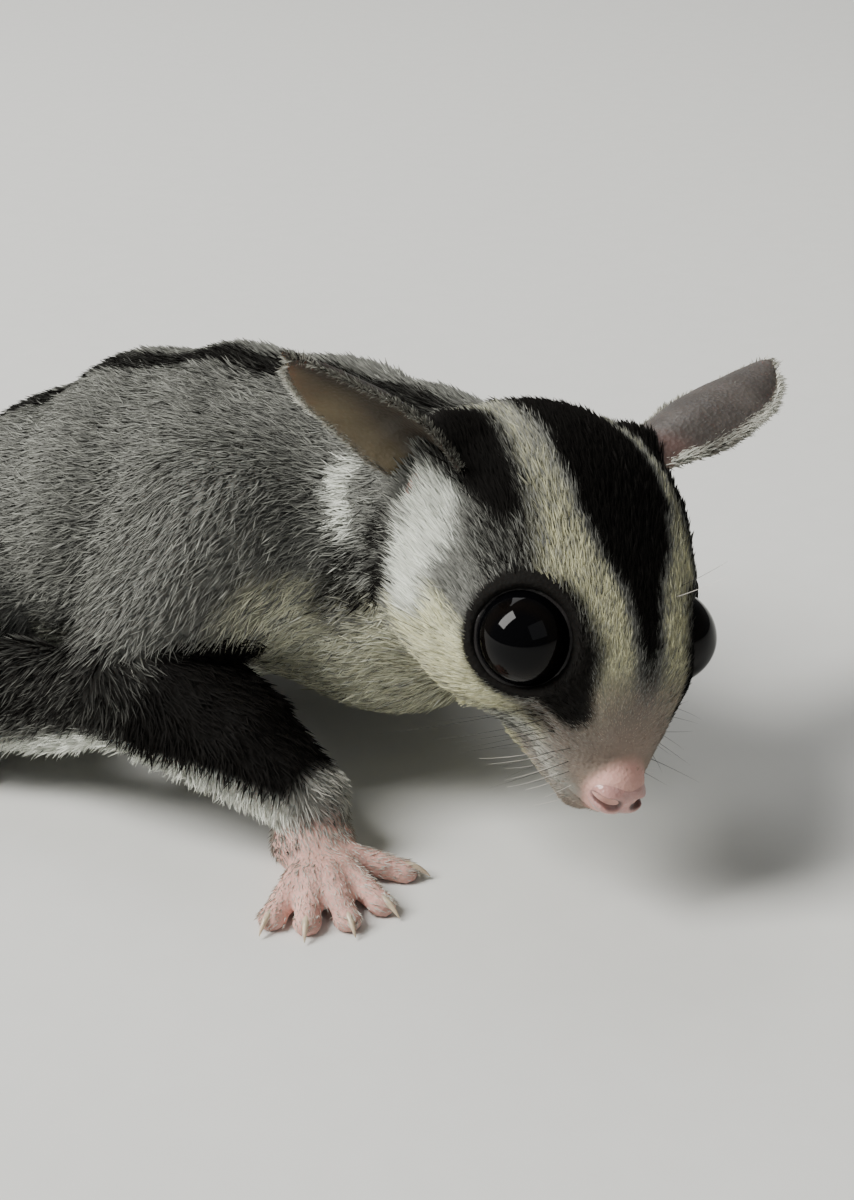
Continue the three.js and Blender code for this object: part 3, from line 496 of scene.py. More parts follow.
def largest_piece(points, quads):
    """Keeps the largest connected surface."""
    root = np.arange(len(points))
    edges = np.vstack([quads[:, [0, 1]], quads[:, [1, 2]], quads[:, [2, 3]]])
    while True:
        low = np.minimum(root[edges[:, 0]], root[edges[:, 1]])
        before = root.copy()
        np.minimum.at(root, edges[:, 0], low)
        np.minimum.at(root, edges[:, 1], low)
        root = root[root]
        if (root == before).all():
            break
    names, counts = np.unique(root, return_counts=True)
    kept = root == names[counts.argmax()]
    renumber = np.cumsum(kept) - 1
    return points[kept], renumber[quads[kept[quads[:, 0]]]]


def to_frame(points):
    return (points + SHIFT) * MM


def mesh_object(name, points, faces, materials, smooth_faces=True, shift=True):
    """A mesh object from points in millimetres and faces of three or four corners."""
    mesh = bpy.data.meshes.new(name)
    co = (to_frame(points) if shift else points).astype(np.float32)
    faces = np.asarray(faces, np.int32)
    corners = faces.shape[1]
    mesh.vertices.add(len(co))
    mesh.vertices.foreach_set("co", co.ravel())
    mesh.loops.add(faces.size)
    mesh.loops.foreach_set("vertex_index", faces.ravel())
    mesh.polygons.add(len(faces))
    mesh.polygons.foreach_set("loop_start", np.arange(len(faces), dtype=np.int32) * corners)
    mesh.polygons.foreach_set("use_smooth", np.full(len(faces), smooth_faces))
    mesh.update(calc_edges=True)
    mesh.validate()
    for material in materials:
        mesh.materials.append(material)
    obj = bpy.data.objects.new(name, mesh)
    bpy.context.scene.collection.objects.link(obj)
    return obj


def set_colours(obj, name, values):
    layer = obj.data.color_attributes.new(name, "FLOAT_COLOR", "POINT")
    layer.data.foreach_set("color", np.asarray(values, np.float32).ravel())


# ---------------------------------------------------------------- markings of the coat


def gentle_noise(p, size, seed):
    """A smooth wandering value from about -1 to 1 that changes over a given size."""
    rng = np.random.default_rng(seed)
    total = np.zeros(len(p))
    for octave in range(5):
        way = unit(rng.normal(size=3)) / size * rng.uniform(0.7, 1.5)
        total += np.sin(p @ way * 2 * math.pi + rng.uniform(0, 6.28) + 1.7 * np.sin(
            p @ np.roll(way, 1) * 3.1 + octave))
    return total / 3.2


def blob(p, centre, radii, soft=0.35):
    """1 inside an ellipsoid, falling to 0 over a soft rim."""
    near = np.linalg.norm((p - centre) / np.asarray(radii, np.float64), axis=1)
    return 1 - smooth(1 - soft, 1 + soft, near)


def band(p, points, radii, soft=0.35):
    near, place, _ = nearest_on_line(p, [np.asarray(a, np.float64) for a in points])
    radius = np.interp(place, range(len(points)), radii)
    return 1 - smooth(1 - soft, 1 + soft, near / radius)


def markings(p, shares, normals):
    """Shares of dark, cream, white and pink in the coat at each point. The dark share also holds painted shade
    along the folds and on the forearms. The rest is grey.
    """
    h = in_head(p)
    q = near_side(h)
    wander = gentle_noise(p, 5, 3) * 0.28 + gentle_noise(p, 1.6, 4) * 0.16
    head = np.clip(shares["head"] * 1.6, 0, 1)
    body = 1 - head
    x, y, z = h.T
    # The stripe from the nose over the crown
    half = np.interp(x, [-20, -12, -4, 0, 4, 8, 11.5, 14, 16], [3.4, 4.6, 5.2, 4.9, 3.7, 1.9, 1.2, 0.8, 0.3])
    middle = np.interp(x, [-12, -4, 0, 4, 8, 11.5, 15], [0.5, 0.7, 0.7, 0.4, 0, -0.4, -0.4])
    aside = np.abs(y - middle)
    up = smooth(-0.1, 0.4, (normals @ HEAD_TURN)[:, 2] + smooth(8, 14, x) * 0.4)
    stripe = (1 - smooth(-0.5, 0.5, aside - half + wander)) * up * (1 - smooth(12.6, 15.6, x))
    # The dark patch round the eye that runs down towards the nose, and the one from the eye to the ear
    lid = EYE_CENTRE + GAZE * 1.95
    eye = np.maximum(blob(q, lid + vec(0.4, 0, 0), (5.3, 5.3, 5.3), 0.12),
                     band(q, [(7.6, -8.3, 3.6), (10.5, -7.0, 2.2), (13.2, -5.7, -0.3)], [4.1, 4.1, 2.2], 0.3))
    temple = band(q, [(-13.2, -10.6, 8.4), (-8.6, -10.9, 8.9), (-4.6, -10.6, 8.8), (-2.2, -10.2, 8.2)],
                  [3.7, 3.4, 2.8, 1.8], 0.35)
    temple = np.maximum(temple, 0.68 * band(q, [(-2.6, -10.4, 8.0), (2.0, -11.0, 5.8)], [3.0, 3.0], 0.5))
    below_ear = band(q, [(-10.9, -15.4, -1.6), (-9.0, -15.2, -4.0), (-6.6, -14.9, -6.0), (-7.6, -14.6, -8.0)],
                     [1.9, 2.9, 2.7, 1.6], 0.5) * (0.85 + wander * 1.2)
    below_ear = np.maximum(below_ear, band(q, [(-10.5, -15.2, -6.6), (-11.4, -14.6, -10), (-11.4, -14.2, -13.6)],
                                           [1.8, 2.6, 2.8], 0.6) * (0.62 + wander * 2))
    snout = band(q, [(10.6, -6.0, -2.2), (13.6, -3.6, -2.8), (15.4, -2.0, -3.6)],
                 [3.0, 2.6, 1.6], 0.6) * (0.36 + wander)
    dark_head = np.clip(np.maximum.reduce([stripe, eye, temple, snout]), 0, 1)
    upper_lip = band(q, [(9.6, -6.4, -7.4), (13.2, -4.8, -7.8), (16.0, -3.0, -8.2)], [2.6, 2.5, 1.6], 0.75)
    # White below the ear and behind it, cream along the cheek, under the chin and beside the stripe
    white = band(q, [(-7.2, -13.6, 5.0), (-5.2, -14.5, 2.2), (-4.0, -15.2, -1.2), (-2.4, -15.2, -3.4)],
                 [2.3, 3.1, 2.8, 2.4], 0.35)
    streak = band(q, [(-19.9, -14.8, 0.6), (-18.9, -16.4, -3.6), (-13.6, -17.0, -5.9), (-10.4, -16.6, -7.6)],
                  [1.8, 1.7, 1.3, 0.9], 0.35)
    cheek = band(q, [(-0.4, -14.4, -4.6), (4.2, -12.9, -4.2), (7.6, -10.4, -5.4), (11.4, -6.6, -5.6)],
                 [3.4, 3.4, 2.8, 1.9], 0.35)
    beside = (smooth(0.1, 1.4, aside - half) * (1 - smooth(7.6, 10.8, np.abs(y) + 0.08 * x))
              * smooth(0.5, 3.5, z + 0.25 * x) * (1 - smooth(12.5, 16.5, x)))
    under = smooth(0.3, 0.75, -(normals @ HEAD_TURN)[:, 2]) * (1 - smooth(10, 15, x))
    cream_head = np.maximum.reduce([cheek, beside * mix(0.6, 0.2, smooth(7, -8, x)), under * 0.85])
    pink = mix(0.5, 0.95, smooth(15.0, 17.6, x)) * smooth(10.5, 14.5, x + 0.2 * np.abs(y) - 0.35 * (z + 3)) * head
    # The stripe along the back, the pale belly, the white edge of the gliding fold and a band of painted shade
    # above that edge
    middle = np.interp(p[:, 0], [-112, -87, -66, -44, -33, -22, -12, -4], [12.8, 13, 14, 14.5, 14, 12, 8, 4])
    top = smooth(0.25, 0.75, normals[:, 2])
    back = (1 - smooth(-1.0, 1.0, np.abs(p[:, 1] - middle) - 2.7 + wander * 1.4)) * top
    back = back * smooth(-112, -96, p[:, 0]) * 0.95
    down = -normals[:, 2] + wander * 0.25
    chest = smooth(-40, -28, p[:, 0]) * 0.34
    belly = smooth(0.2, 0.62, down + chest) * (1 - shares["tail"]) * (1 - shares["legs"] * 0.55)
    belly = np.maximum(belly, band(p, [(-27, -4.5, 18.5), (-22, -3, 14.5), (-13, -3, 14)], [2.4, 4.6, 5.4], 0.4))
    fold = shares["folds"]
    edge = np.zeros(len(p))
    painted_fold_shade = np.zeros(len(p))
    for stations in FOLDS.values():
        line = [at - vec(0, 0, depth * 0.82) for at, depth, _ in stations]
        near, _, _ = nearest_on_line(p, line)
        edge = np.maximum(edge, 1 - smooth(1.9, 2.9, near - smooth(-40, -30, p[:, 0]) * 0.6))
        # Painted shade: the coat is darkened in a band along the upper side of each fold
        line = [at + vec(0, 0, depth * 0.4) for at, depth, _ in stations]
        near, _, _ = nearest_on_line(p, line)
        painted_fold_shade = np.maximum(painted_fold_shade, (1 - smooth(3.5, 7.6, near + wander)) * 0.9)
    edge = edge * smooth(0.1, 0.3, fold)
    painted_fold_shade = painted_fold_shade * smooth(-90, -70, p[:, 0]) * (1 - edge)
    # Painted shade: the fur from elbow to wrist is darkened almost to black, as if the forearms lay in shade
    forearm_shade, wrist = np.zeros(len(p)), np.zeros(len(p))
    for name in ("foreleg_right", "foreleg_left"):
        points = LEGS[name][0]
        near, place, _ = nearest_on_line(p, points)
        forearm_shade = np.maximum(forearm_shade, smooth(0.95, 1.4, place) * (near < 9) * (1 - smooth(2.8, 3.0, place)))
        wrist = np.maximum(wrist, smooth(2.8, 3.0, place) * (near < 6))
    forearm_shade = forearm_shade * smooth(0.1, 0.5, shares["legs"] + fold) * (1 - edge)
    tail_dark = shares["tail"] * smooth(-170, -262, p[:, 0]) * 0.85
    paws = shares["paws"]
    dark = np.maximum.reduce([dark_head * head, np.clip(below_ear, 0, 1), back * body, painted_fold_shade, forearm_shade,
                              tail_dark])
    cream = np.maximum(cream_head * head, belly * body * mix(0.55, 0.85, smooth(-40, -28, p[:, 0])))
    whites = np.maximum.reduce([
        white * head, upper_lip * head * 0.42, streak, edge, wrist * shares["legs"], paws * 0.85,
        belly * body * mix(0.5, 0.22, smooth(-40, -28, p[:, 0])), cheek * head * 0.12])
    cream = cream * (1 - whites)
    keep = 1 - np.maximum(dark * head, dark * body * (1 - cream) * (1 - paws))
    pinks = np.maximum(pink * (1 - 0.6 * upper_lip), paws * 0.4)
    dark = dark * (1 - np.maximum(np.maximum(edge, wrist), streak) * body)
    dark = np.maximum(dark, np.clip(below_ear, 0, 1) * (1 - streak))
    return np.clip(np.stack([dark, cream * keep, np.maximum(whites * keep, streak), pinks], 1), 0, 1)


# ---------------------------------------------------------------- which way and how the coat lies


def coat_facts(p, normals):
    """For each point of the skin: its part shares, the lie of its hair, the hair's length and its lift."""
    fields = dict(zip([part.name for part in PARTS], part_fields(p, outer=True)))
    groups = {
        "head": [fields["head"]], "trunk": [fields["trunk"]],
        "legs": [fields[n] for n in LEGS], "folds": [fields[n] for n in FOLDS],
        "paws": [fields[n] for n in PAWS], "tail": [fields["tail"] - 5],
    }
    nearest = {name: np.min(rows, 0) for name, rows in groups.items()}
    nearest["paws"] = nearest["paws"] - 0.4
    lowest = np.min(list(nearest.values()), 0)
    weight = {name: np.exp(-np.maximum(d - lowest, 0) / 1.3) for name, d in nearest.items()}
    total = sum(weight.values())
    shares = {name: w / total for name, w in weight.items()}
    h = in_head(p)
    q = near_side(h)
    side = np.where(h[:, 1] > 0, LEFT, RIGHT)
    from_nose = unit(h - (NOSE_CENTRE + vec(1.5, 0, 1.0)))
    from_eye = q - (EYE_CENTRE + GAZE * 3)
    round_eye = np.exp(-(np.linalg.norm(from_eye, axis=1) / 7.5) ** 2)[:, None]
    from_eye[:, 1] *= side
    way_head = from_nose * vec(1, 0.8, 1) + vec(-0.25, 0, -0.12) + unit(from_eye) * round_eye * 0.9
    way_head = unit(way_head) @ HEAD_TURN.T
    flank = np.sign(p[:, 1] - BODY_MIDDLE) * (1 - np.abs(normals[:, 2]))
    way_trunk = np.stack([np.full(len(p), -1.0), flank * 0.12, -0.42 * (1 - np.abs(normals[:, 2]))], 1)
    way_legs = np.zeros((len(p), 3))
    best = np.full(len(p), 1e9)
    for points, _ in LEGS.values():
        near, _, way = nearest_on_line(p, points)
        closer = near < best
        best[closer] = near[closer]
        way_legs[closer] = way[closer]
    way_folds = np.stack([np.full(len(p), -0.8), np.sign(p[:, 1] - BODY_MIDDLE) * 0.45,
                          np.full(len(p), -0.55)], 1)
    way_paws = np.zeros((len(p), 3))
    best = np.full(len(p), 1e9)
    for name, (_, palm, facing, _) in PAWS.items():
        ahead = flat_way(math.radians(facing))
        for line, way, _, _ in toes_of(name):
            near = nearest_on_line(p, line)[0]
            closer = near < best
            best[closer] = near[closer]
            far = np.linalg.norm(p[closer] - palm, axis=1)[:, None]
            way_paws[closer] = unit(mix(ahead, way, smooth(3, 6, far)))
    _, place, way_tail = nearest_on_line(p, TAIL_LINE)
    way = (way_head * shares["head"][:, None] + unit(way_trunk) * shares["trunk"][:, None]
           + unit(way_legs) * shares["legs"][:, None] + unit(way_folds) * shares["folds"][:, None]
           + unit(way_paws) * shares["paws"][:, None] + way_tail * shares["tail"][:, None])
    way = way - (way * normals).sum(1)[:, None] * normals
    length_head = np.interp(h[:, 0], [-16, -8, 0, 8, 13, 17], [2.8, 2.3, 1.9, 1.45, 1.1, 0.6])
    length_head = length_head * (1 - 0.45 * round_eye[:, 0])
    streaming = smooth(-12, -14.5, q[:, 1]) * smooth(2, -2, h[:, 0]) * smooth(-15, -9, h[:, 0])
    length_head = length_head + 1.7 * streaming
    along = place / (len(TAIL_LINE) - 1)
    length_tail = np.interp(along, [0, 0.08, 0.3, 0.85, 1], [6, 9, 14, 15, 15])
    length = (length_head * shares["head"] + 2.5 * shares["trunk"] + 2.2 * shares["legs"]
              + 2.6 * shares["folds"] + 1.05 * shares["paws"] + length_tail * shares["tail"])
    smooth_chest = 13 * smooth(0.0, 0.6, smooth(-42, -28, p[:, 0]) * 0.35 - normals[:, 2])
    lift = (25 * shares["head"] + (24 - smooth_chest) * shares["trunk"] + 25 * shares["legs"]
            + 22 * shares["folds"] + 24 * shares["paws"] + 27 * shares["tail"])
    return shares, unit(way), length, np.radians(lift)


# ---------------------------------------------------------------- tufts


class Skin:
    """The skin's mesh with what the coat needs to know at each of its points."""

    def __init__(self, points, quads):
        self.points, self.quads = points, quads
        self.normals = vertex_normals(points, quads)
        self.shares, self.way, self.length, self.lift = coat_facts(points, self.normals)
        self.marks = markings(points, self.shares, self.normals)
        self.triangles = np.vstack([quads[:, [0, 1, 2]], quads[:, [0, 2, 3]]])


def in_cup(h):
    """1 in the hollow that an ear encloses by its root, where the coat keeps out."""
    inside = np.zeros(len(h))
    for side, (along, across, offset, _, _) in EAR_POSES.items():
        opening = unit(np.cross(along, across)) * side
        root = mirrored(EAR_ROOT, side) + offset
        near, _, _ = nearest_on_line(h, [root + opening * 1.2, root + unit(along) * 7 + opening * 1.2])
        inside = np.maximum(inside, 1 - smooth(1.7, 2.6, near))
    return inside


def bare_places(skin):
    """0 where no hair grows: the nose, the lids, the lips, the soles and the inside of the ear's opening."""
    h = in_head(skin.points)
    q = near_side(h)
    growing = smooth(-0.08, 0.2, np.linalg.norm((h - NOSE_CENTRE) / vec(2.7, 3.0, 2.6), axis=1) - 1)
    away = q - EYE_CENTRE
    tilt = np.degrees(np.arccos(np.clip(unit(away) @ GAZE, -1, 1)))
    lid = (tilt < 70) & (np.linalg.norm(away, axis=1) < EYE_RADIUS + 1.6)
    growing = growing * ~lid
    lips, _, _ = nearest_on_line(h, LIPS)
    growing = growing * smooth(0.2, 0.6, lips)
    canal = np.linalg.norm(q - EAR_CANAL, axis=1)
    growing = growing * smooth(0.8, 1.5, canal) * (1 - in_cup(h))
    toes = np.full(len(q), FAR)
    for name in PAWS:
        for line, _, _, _ in toes_of(name):
            toes = np.minimum(toes, nearest_on_line(skin.points, line[1:])[0])
    growing = growing * np.where(skin.shares["paws"] > 0.4, mix(0.75, 1.0, smooth(1.2, 3.4, toes)), 1)
    under_foot = (skin.shares["paws"] > 0.3) * smooth(0.1, 0.5, -skin.normals[:, 2])
    growing = growing * (1 - under_foot)
    growing = growing * smooth(0.5, 1.4, skin.points[:, 2])
    return growing


def sample_roots(skin, density, count, rng):
    """Places on the skin for a number of tufts, as evenly spread as the density asks."""
    tri = skin.points[skin.triangles]
    area = np.linalg.norm(np.cross(tri[:, 1] - tri[:, 0], tri[:, 2] - tri[:, 0]), axis=1) / 2
    weight = area * density[skin.triangles].mean(1)
    run = np.cumsum(weight)
    picks = (np.arange(count) + rng.uniform(0, 1, count)) / count * run[-1]
    face = np.minimum(np.searchsorted(run, picks), len(run) - 1)
    a, b = np.sqrt(rng.uniform(0, 1, count)), rng.uniform(0, 1, count)
    return face, np.stack([1 - a, a * (1 - b), a * b], 1)


def at_roots(skin, values, face, shares):
    corners = values[skin.triangles[face]]
    if corners.ndim == 2:
        return (corners * shares).sum(1)
    return (corners * shares[:, :, None]).sum(1)


def clumped(roots, tips, every, pull, rng):
    """Draws each tip towards the tip of the nearest of a few chosen tufts."""
    chosen = rng.permutation(len(roots))[:max(len(roots) // every, 1)]
    tree = kdtree.KDTree(len(chosen))
    for n, i in enumerate(chosen):
        tree.insert(roots[i], n)
    tree.balance()
    near = np.array([tree.find(root)[1] for root in roots])
    lead = chosen[near]
    return tips + (tips[lead] - tips) * pull


def unwrap(roots, spot):
    """Each root's place on an unwrap of the skin round the middle line of its own region, from 0 to 1."""
    if spot == "head":
        h = in_head(roots) - vec(-3, 0, 0)
        turn = np.arctan2(h[:, 2], h[:, 1])
        along = h[:, 0]
    elif spot == "tail":
        _, place, _ = nearest_on_line(roots, TAIL_LINE)
        centre = TAIL_LINE[np.clip(place.astype(int), 0, len(TAIL_LINE) - 1)]
        turn = np.arctan2(roots[:, 2] - centre[:, 2], roots[:, 1] - centre[:, 1])
        along = place
    else:
        turn = np.arctan2(roots[:, 2] - 16, roots[:, 1] - BODY_MIDDLE)
        along = roots[:, 0]
    uv = np.stack([turn, along], 1)
    low, high = uv.min(0), uv.max(0)
    return 0.004 + 0.988 * (uv - low) / np.maximum(high - low, 1e-6)


# How deep a tuft is rooted, the shares of its length at its shoulder and its middle, and its spot on the unwrap
ROOT_DEPTH = 0.22
SHOULDER, MIDWAY = 0.36, 0.68
SPOT_SIZE = 0.003


def tuft_piece(name, skin, face, shares, look, spot, rng):
    """A mesh of thin closed tufts over part of the skin. Each lies along the coat and bends towards its tip."""
    roots = at_roots(skin, skin.points, face, shares)
    normal = unit(at_roots(skin, skin.normals, face, shares))
    way = at_roots(skin, skin.way, face, shares)
    length = at_roots(skin, skin.length, face, shares)
    lift = at_roots(skin, skin.lift, face, shares)
    count = len(roots)
    swirl = gentle_noise(roots, look["swirl_size"], 11) * look["swirl"]
    aside = unit(np.cross(normal, way))
    way = way + aside * (swirl + rng.normal(0, look["stray"], count))[:, None]
    way = unit(way - (way * normal).sum(1)[:, None] * normal)
    aside = unit(np.cross(normal, way))
    size = length * rng.uniform(0.7, 1.2, count)
    rise = np.clip(lift * (1 + rng.normal(0, 0.22, count)), 0.06, 1.2)
    steep = rise * 1.35
    start = roots - normal * ROOT_DEPTH
    first = start + (way * np.cos(steep)[:, None] + normal * np.sin(steep)[:, None]) * (size * SHOULDER)[:, None]
    flat = rise * 0.62
    last = first + (way * np.cos(flat)[:, None] + normal * np.sin(flat)[:, None]) * (size * 0.64)[:, None]
    last = last + aside * (rng.normal(0, 0.07, count) * size)[:, None]
    last = clumped(roots, last, look["every"], look["clump"], rng)
    last[:, 2] = np.maximum(last[:, 2], 0.15)
    first[:, 2] = np.maximum(first[:, 2], 0.2)
    start[:, 2] = np.maximum(start[:, 2], 0.1)
    width = look["width"] * rng.uniform(0.7, 1.3, count) * np.clip(size / look["full"], 0.55, 1.25)
    stations = [first]
    if look["bends"] == 2:
        middle = mix(first, last, 0.5) + normal * (size * 0.035)[:, None]
        middle = middle + aside * (rng.normal(0, 0.035, count) * size)[:, None]
        stations = [first, middle]
    if look["bends"] == 1:
        # A short tuft is the least closed form: root, two shoulders and tip
        corners = np.stack([start, first - aside * (width / 2)[:, None], first + aside * (width / 2)[:, None],
                            last], 1)
        faces = [(0, 1, 2), (1, 3, 2), (0, 3, 1), (0, 2, 3)]
        steps, across = [0.0, SHOULDER, SHOULDER, 1.0], [0.5, 0.0, 1.0, 0.5]
    else:
        rings = []
        for n, at in enumerate(stations):
            broad = width * (1.0 if n == 0 else 0.72)
            rings.append(at - aside * (broad / 2)[:, None])
            rings.append(at + normal * (broad * 0.32)[:, None])
            rings.append(at + aside * (broad / 2)[:, None])
        corners = np.stack([start, *rings, last], 1)
        faces = [(0, 2, 1), (0, 3, 2), (0, 1, 3)]
        for i, j in ((0, 1), (1, 2), (2, 0)):
            faces += [(1 + i, 1 + j, 4 + j), (1 + i, 4 + j, 4 + i)]
        faces += [(4, 5, 7), (5, 6, 7), (6, 4, 7)]
        steps = [0.0] + [SHOULDER] * 3 + [MIDWAY] * 3 + [1.0]
        across = [0.5] + [0.0, 0.5, 1.0] * 2 + [0.5]
    per = corners.shape[1]
    corners[..., 2] = np.maximum(corners[..., 2], 0.06)
    faces = (np.array(faces)[None] + (np.arange(count) * per)[:, None, None]).reshape(-1, 3)
    obj = mesh_object(name, corners.reshape(-1, 3), faces, [coat_material(look["material"])], look["bends"] == 2)
    marks = at_roots(skin, skin.marks, face, shares)
    if look["ragged"] > 0:
        marks = np.clip(marks + markings_edge(marks) * rng.normal(0, look["ragged"], (count, 1)), 0, 1)
    set_colours(obj, "marks", np.repeat(marks[:, None], per, 1).reshape(-1, 4))
    locks = gentle_noise(roots, look["lock_size"], 31) * 0.5 + 0.5
    vary = np.clip(mix(rng.uniform(0, 1, count), locks, 0.6), 0, 1)
    tick = (rng.uniform(0, 1, count) < look["ticked"]).astype(float)
    strand = np.stack([np.tile(steps, (count, 1)), np.repeat(vary[:, None], per, 1),
                       np.repeat(tick[:, None], per, 1), np.ones((count, per))], 2)
    set_colours(obj, "strand", strand.reshape(-1, 4))
    place = at_roots(skin, skin.spread, face, shares) if spot == "ear" else unwrap(roots, spot)
    uv = np.stack([np.clip(place[:, :1] + (np.array(across)[None] - 0.5) * SPOT_SIZE, 0, 1),
                   np.clip(place[:, 1:] + (np.array(steps)[None] - 0.5) * SPOT_SIZE, 0, 1)], 2).reshape(-1, 2)
    layer = obj.data.uv_layers.new(name="OFBake")
    layer.data.foreach_set("uv", uv[faces.ravel()].astype(np.float32).ravel())
    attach(obj, "root")
    return obj


def markings_edge(marks):
    """Largest where a marking is neither full nor absent, so that its border is ragged."""
    return 4 * marks * (1 - marks)


# ---------------------------------------------------------------- shader node groups and materials


def add_node(tree, kind, inputs=None, **settings):
    """A node with its settings made and each named input linked or set."""
    made = tree.nodes.new(kind)
    for key, value in settings.items():
        setattr(made, key, value)
    for key, value in (inputs or {}).items():
        if isinstance(value, bpy.types.NodeSocket):
            tree.links.new(value, made.inputs[key])
        else:
            made.inputs[key].default_value = value
    return made


def mixed(tree, factor, a, b, how="MIX"):
    """Mixes two colours; a number for the factor is set on the socket."""
    return add_node(tree, "ShaderNodeMix", {0: factor, 6: a, 7: b}, data_type="RGBA", blend_type=how).outputs[2]


def maths(tree, how, a, b=0.0):
    return add_node(tree, "ShaderNodeMath", {0: a, 1: b}, operation=how).outputs[0]


def ranged(tree, value, low, high, to_low=0.0, to_high=1.0):
    made = add_node(tree, "ShaderNodeMapRange", {"Value": value, "From Min": low, "From Max": high,
                                                 "To Min": to_low, "To Max": to_high})
    made.interpolation_type = "SMOOTHSTEP"
    return made.outputs["Result"]


def node_group(name, inputs, outputs, build):
    """A shader node group with named sockets, built once."""
    found = bpy.data.node_groups.get(name)
    if found:
        return found
    tree = bpy.data.node_groups.new(name, "ShaderNodeTree")
    for label, kind in inputs:
        tree.interface.new_socket(label, in_out="INPUT", socket_type=f"NodeSocket{kind}")
    for label, kind in outputs:
        tree.interface.new_socket(label, in_out="OUTPUT", socket_type=f"NodeSocket{kind}")
    source = tree.nodes.new("NodeGroupInput")
    result = build(tree, source.outputs)
    target = tree.nodes.new("NodeGroupOutput")
    for label, socket in result.items():
        tree.links.new(socket, target.inputs[label])
    return tree


def markings_group():
    """Lays the coat's colours over one another by the shares in the marks."""
    def build(tree, given):
        parts = add_node(tree, "ShaderNodeSeparateColor", {"Color": given["Marks"]}).outputs
        colour = mixed(tree, parts["Green"], given["Grey"], given["Cream"])
        colour = mixed(tree, parts["Blue"], colour, given["White"])
        colour = mixed(tree, given["Pink share"], colour, given["Pink"])
        colour = mixed(tree, parts["Red"], colour, given["Dark"])
        return {"Colour": colour, "Dark share": parts["Red"],
                "Pale share": maths(tree, "MAXIMUM", parts["Green"], parts["Blue"])}
    return node_group("glider_markings", [
        ("Marks", "Color"), ("Pink share", "Float"), ("Grey", "Color"), ("Cream", "Color"),
        ("White", "Color"), ("Pink", "Color"), ("Dark", "Color"),
    ], [("Colour", "Color"), ("Dark share", "Float"), ("Pale share", "Float")], build)


def strand_group():
    """Darkens a hair towards its root, varies it from its neighbours and gives some a pale tip."""
    def build(tree, given):
        parts = add_node(tree, "ShaderNodeSeparateColor", {"Color": given["Strand"]}).outputs
        along = ranged(tree, parts["Red"], 0.05, 0.85)
        level = add_node(tree, "ShaderNodeMapRange", {
            "Value": along, "To Min": given["Root"], "To Max": given["Tip"]}).outputs["Result"]
        vary = add_node(tree, "ShaderNodeMapRange", {
            "Value": parts["Green"], "To Min": 0.68, "To Max": 1.32}).outputs["Result"]
        # Pale hair is hardly darker at its root
        lack = maths(tree, "MULTIPLY", maths(tree, "SUBTRACT", 1.0, level), given["Pale share"])
        level = maths(tree, "ADD", level, maths(tree, "MULTIPLY", lack, 0.65))
        level = maths(tree, "MULTIPLY", level, vary)
        scaled = add_node(tree, "ShaderNodeVectorMath", {0: given["Colour"], "Scale": level}, operation="SCALE")
        pale = ranged(tree, parts["Red"], 0.3, 0.8)
        pale = maths(tree, "MULTIPLY", pale, parts["Blue"])
        pale = maths(tree, "MULTIPLY", pale, given["Ticking"])
        pale = maths(tree, "MULTIPLY", pale, maths(tree, "SUBTRACT", 1.0, given["Dark share"]))
        return {"Colour": mixed(tree, pale, scaled.outputs[0], given["Pale tip"])}
    return node_group("glider_strand", [
        ("Colour", "Color"), ("Strand", "Color"), ("Root", "Float"), ("Tip", "Float"),
        ("Ticking", "Float"), ("Pale tip", "Color"), ("Dark share", "Float"), ("Pale share", "Float"),
    ], [("Colour", "Color")], build)


def pores_group():
    """Fine wrinkles and pores of bare skin, as a height and as a mottling from 0 to 1."""
    def build(tree, given):
        place = add_node(tree, "ShaderNodeTexCoord").outputs["Object"]
        cells = add_node(tree, "ShaderNodeTexVoronoi", {"Vector": place, "Scale": given["Pore scale"]})
        creases = add_node(tree, "ShaderNodeTexNoise", {"Vector": place, "Scale": given["Crease scale"],
                                                       "Detail": 4.0, "Roughness": 0.6})
        mottle = add_node(tree, "ShaderNodeTexNoise", {"Vector": place, "Scale": given["Mottle scale"],
                                                      "Detail": 3.0})
        height = maths(tree, "ADD", maths(tree, "MULTIPLY", cells.outputs["Distance"], 0.6),
                       maths(tree, "MULTIPLY", creases.outputs["Fac"], 0.8))
        return {"Height": height, "Mottle": ranged(tree, mottle.outputs["Fac"], 0.32, 0.68)}
    return node_group("glider_pores", [
        ("Pore scale", "Float"), ("Crease scale", "Float"), ("Mottle scale", "Float"),
    ], [("Height", "Float"), ("Mottle", "Float")], build)


def rgba(colour, scale=1.0):
    return (colour[0] * scale, colour[1] * scale, colour[2] * scale, 1.0)


def place_group(tree, group, inputs):
    return add_node(tree, "ShaderNodeGroup", inputs, node_tree=group).outputs


def material(name, build, **fixed):
    """A material with one Principled shader; build links what changes over the surface."""
    found = bpy.data.materials.get(name)
    if found:
        return found
    made = bpy.data.materials.new(name)
    made.use_nodes = True
    tree = made.node_tree
    tree.nodes.clear()
    shader = tree.nodes.new("ShaderNodeBsdfPrincipled")
    target = tree.nodes.new("ShaderNodeOutputMaterial")
    tree.links.new(shader.outputs[0], target.inputs["Surface"])
    for key, value in fixed.items():
        shader.inputs[key.replace("_", " ")].default_value = value
    build(tree, shader)
    return made


def bumped(tree, shader, height, distance, strength=1.0):
    bump = add_node(tree, "ShaderNodeBump", {"Height": height, "Distance": distance, "Strength": strength})
    tree.links.new(bump.outputs["Normal"], shader.inputs["Normal"])


def coat_colours(tree):
    """The markings' colour at this place of the coat or skin."""
    palette = bpy.context.scene.glider_coat
    marks = add_node(tree, "ShaderNodeAttribute", attribute_name="marks").outputs
    return place_group(tree, markings_group(), {
        "Marks": marks["Color"], "Pink share": marks["Alpha"], "Grey": rgba(palette.grey),
        "Cream": rgba(palette.cream), "White": rgba(palette.white), "Pink": rgba(palette.muzzle),
        "Dark": rgba(palette.dark),
    })


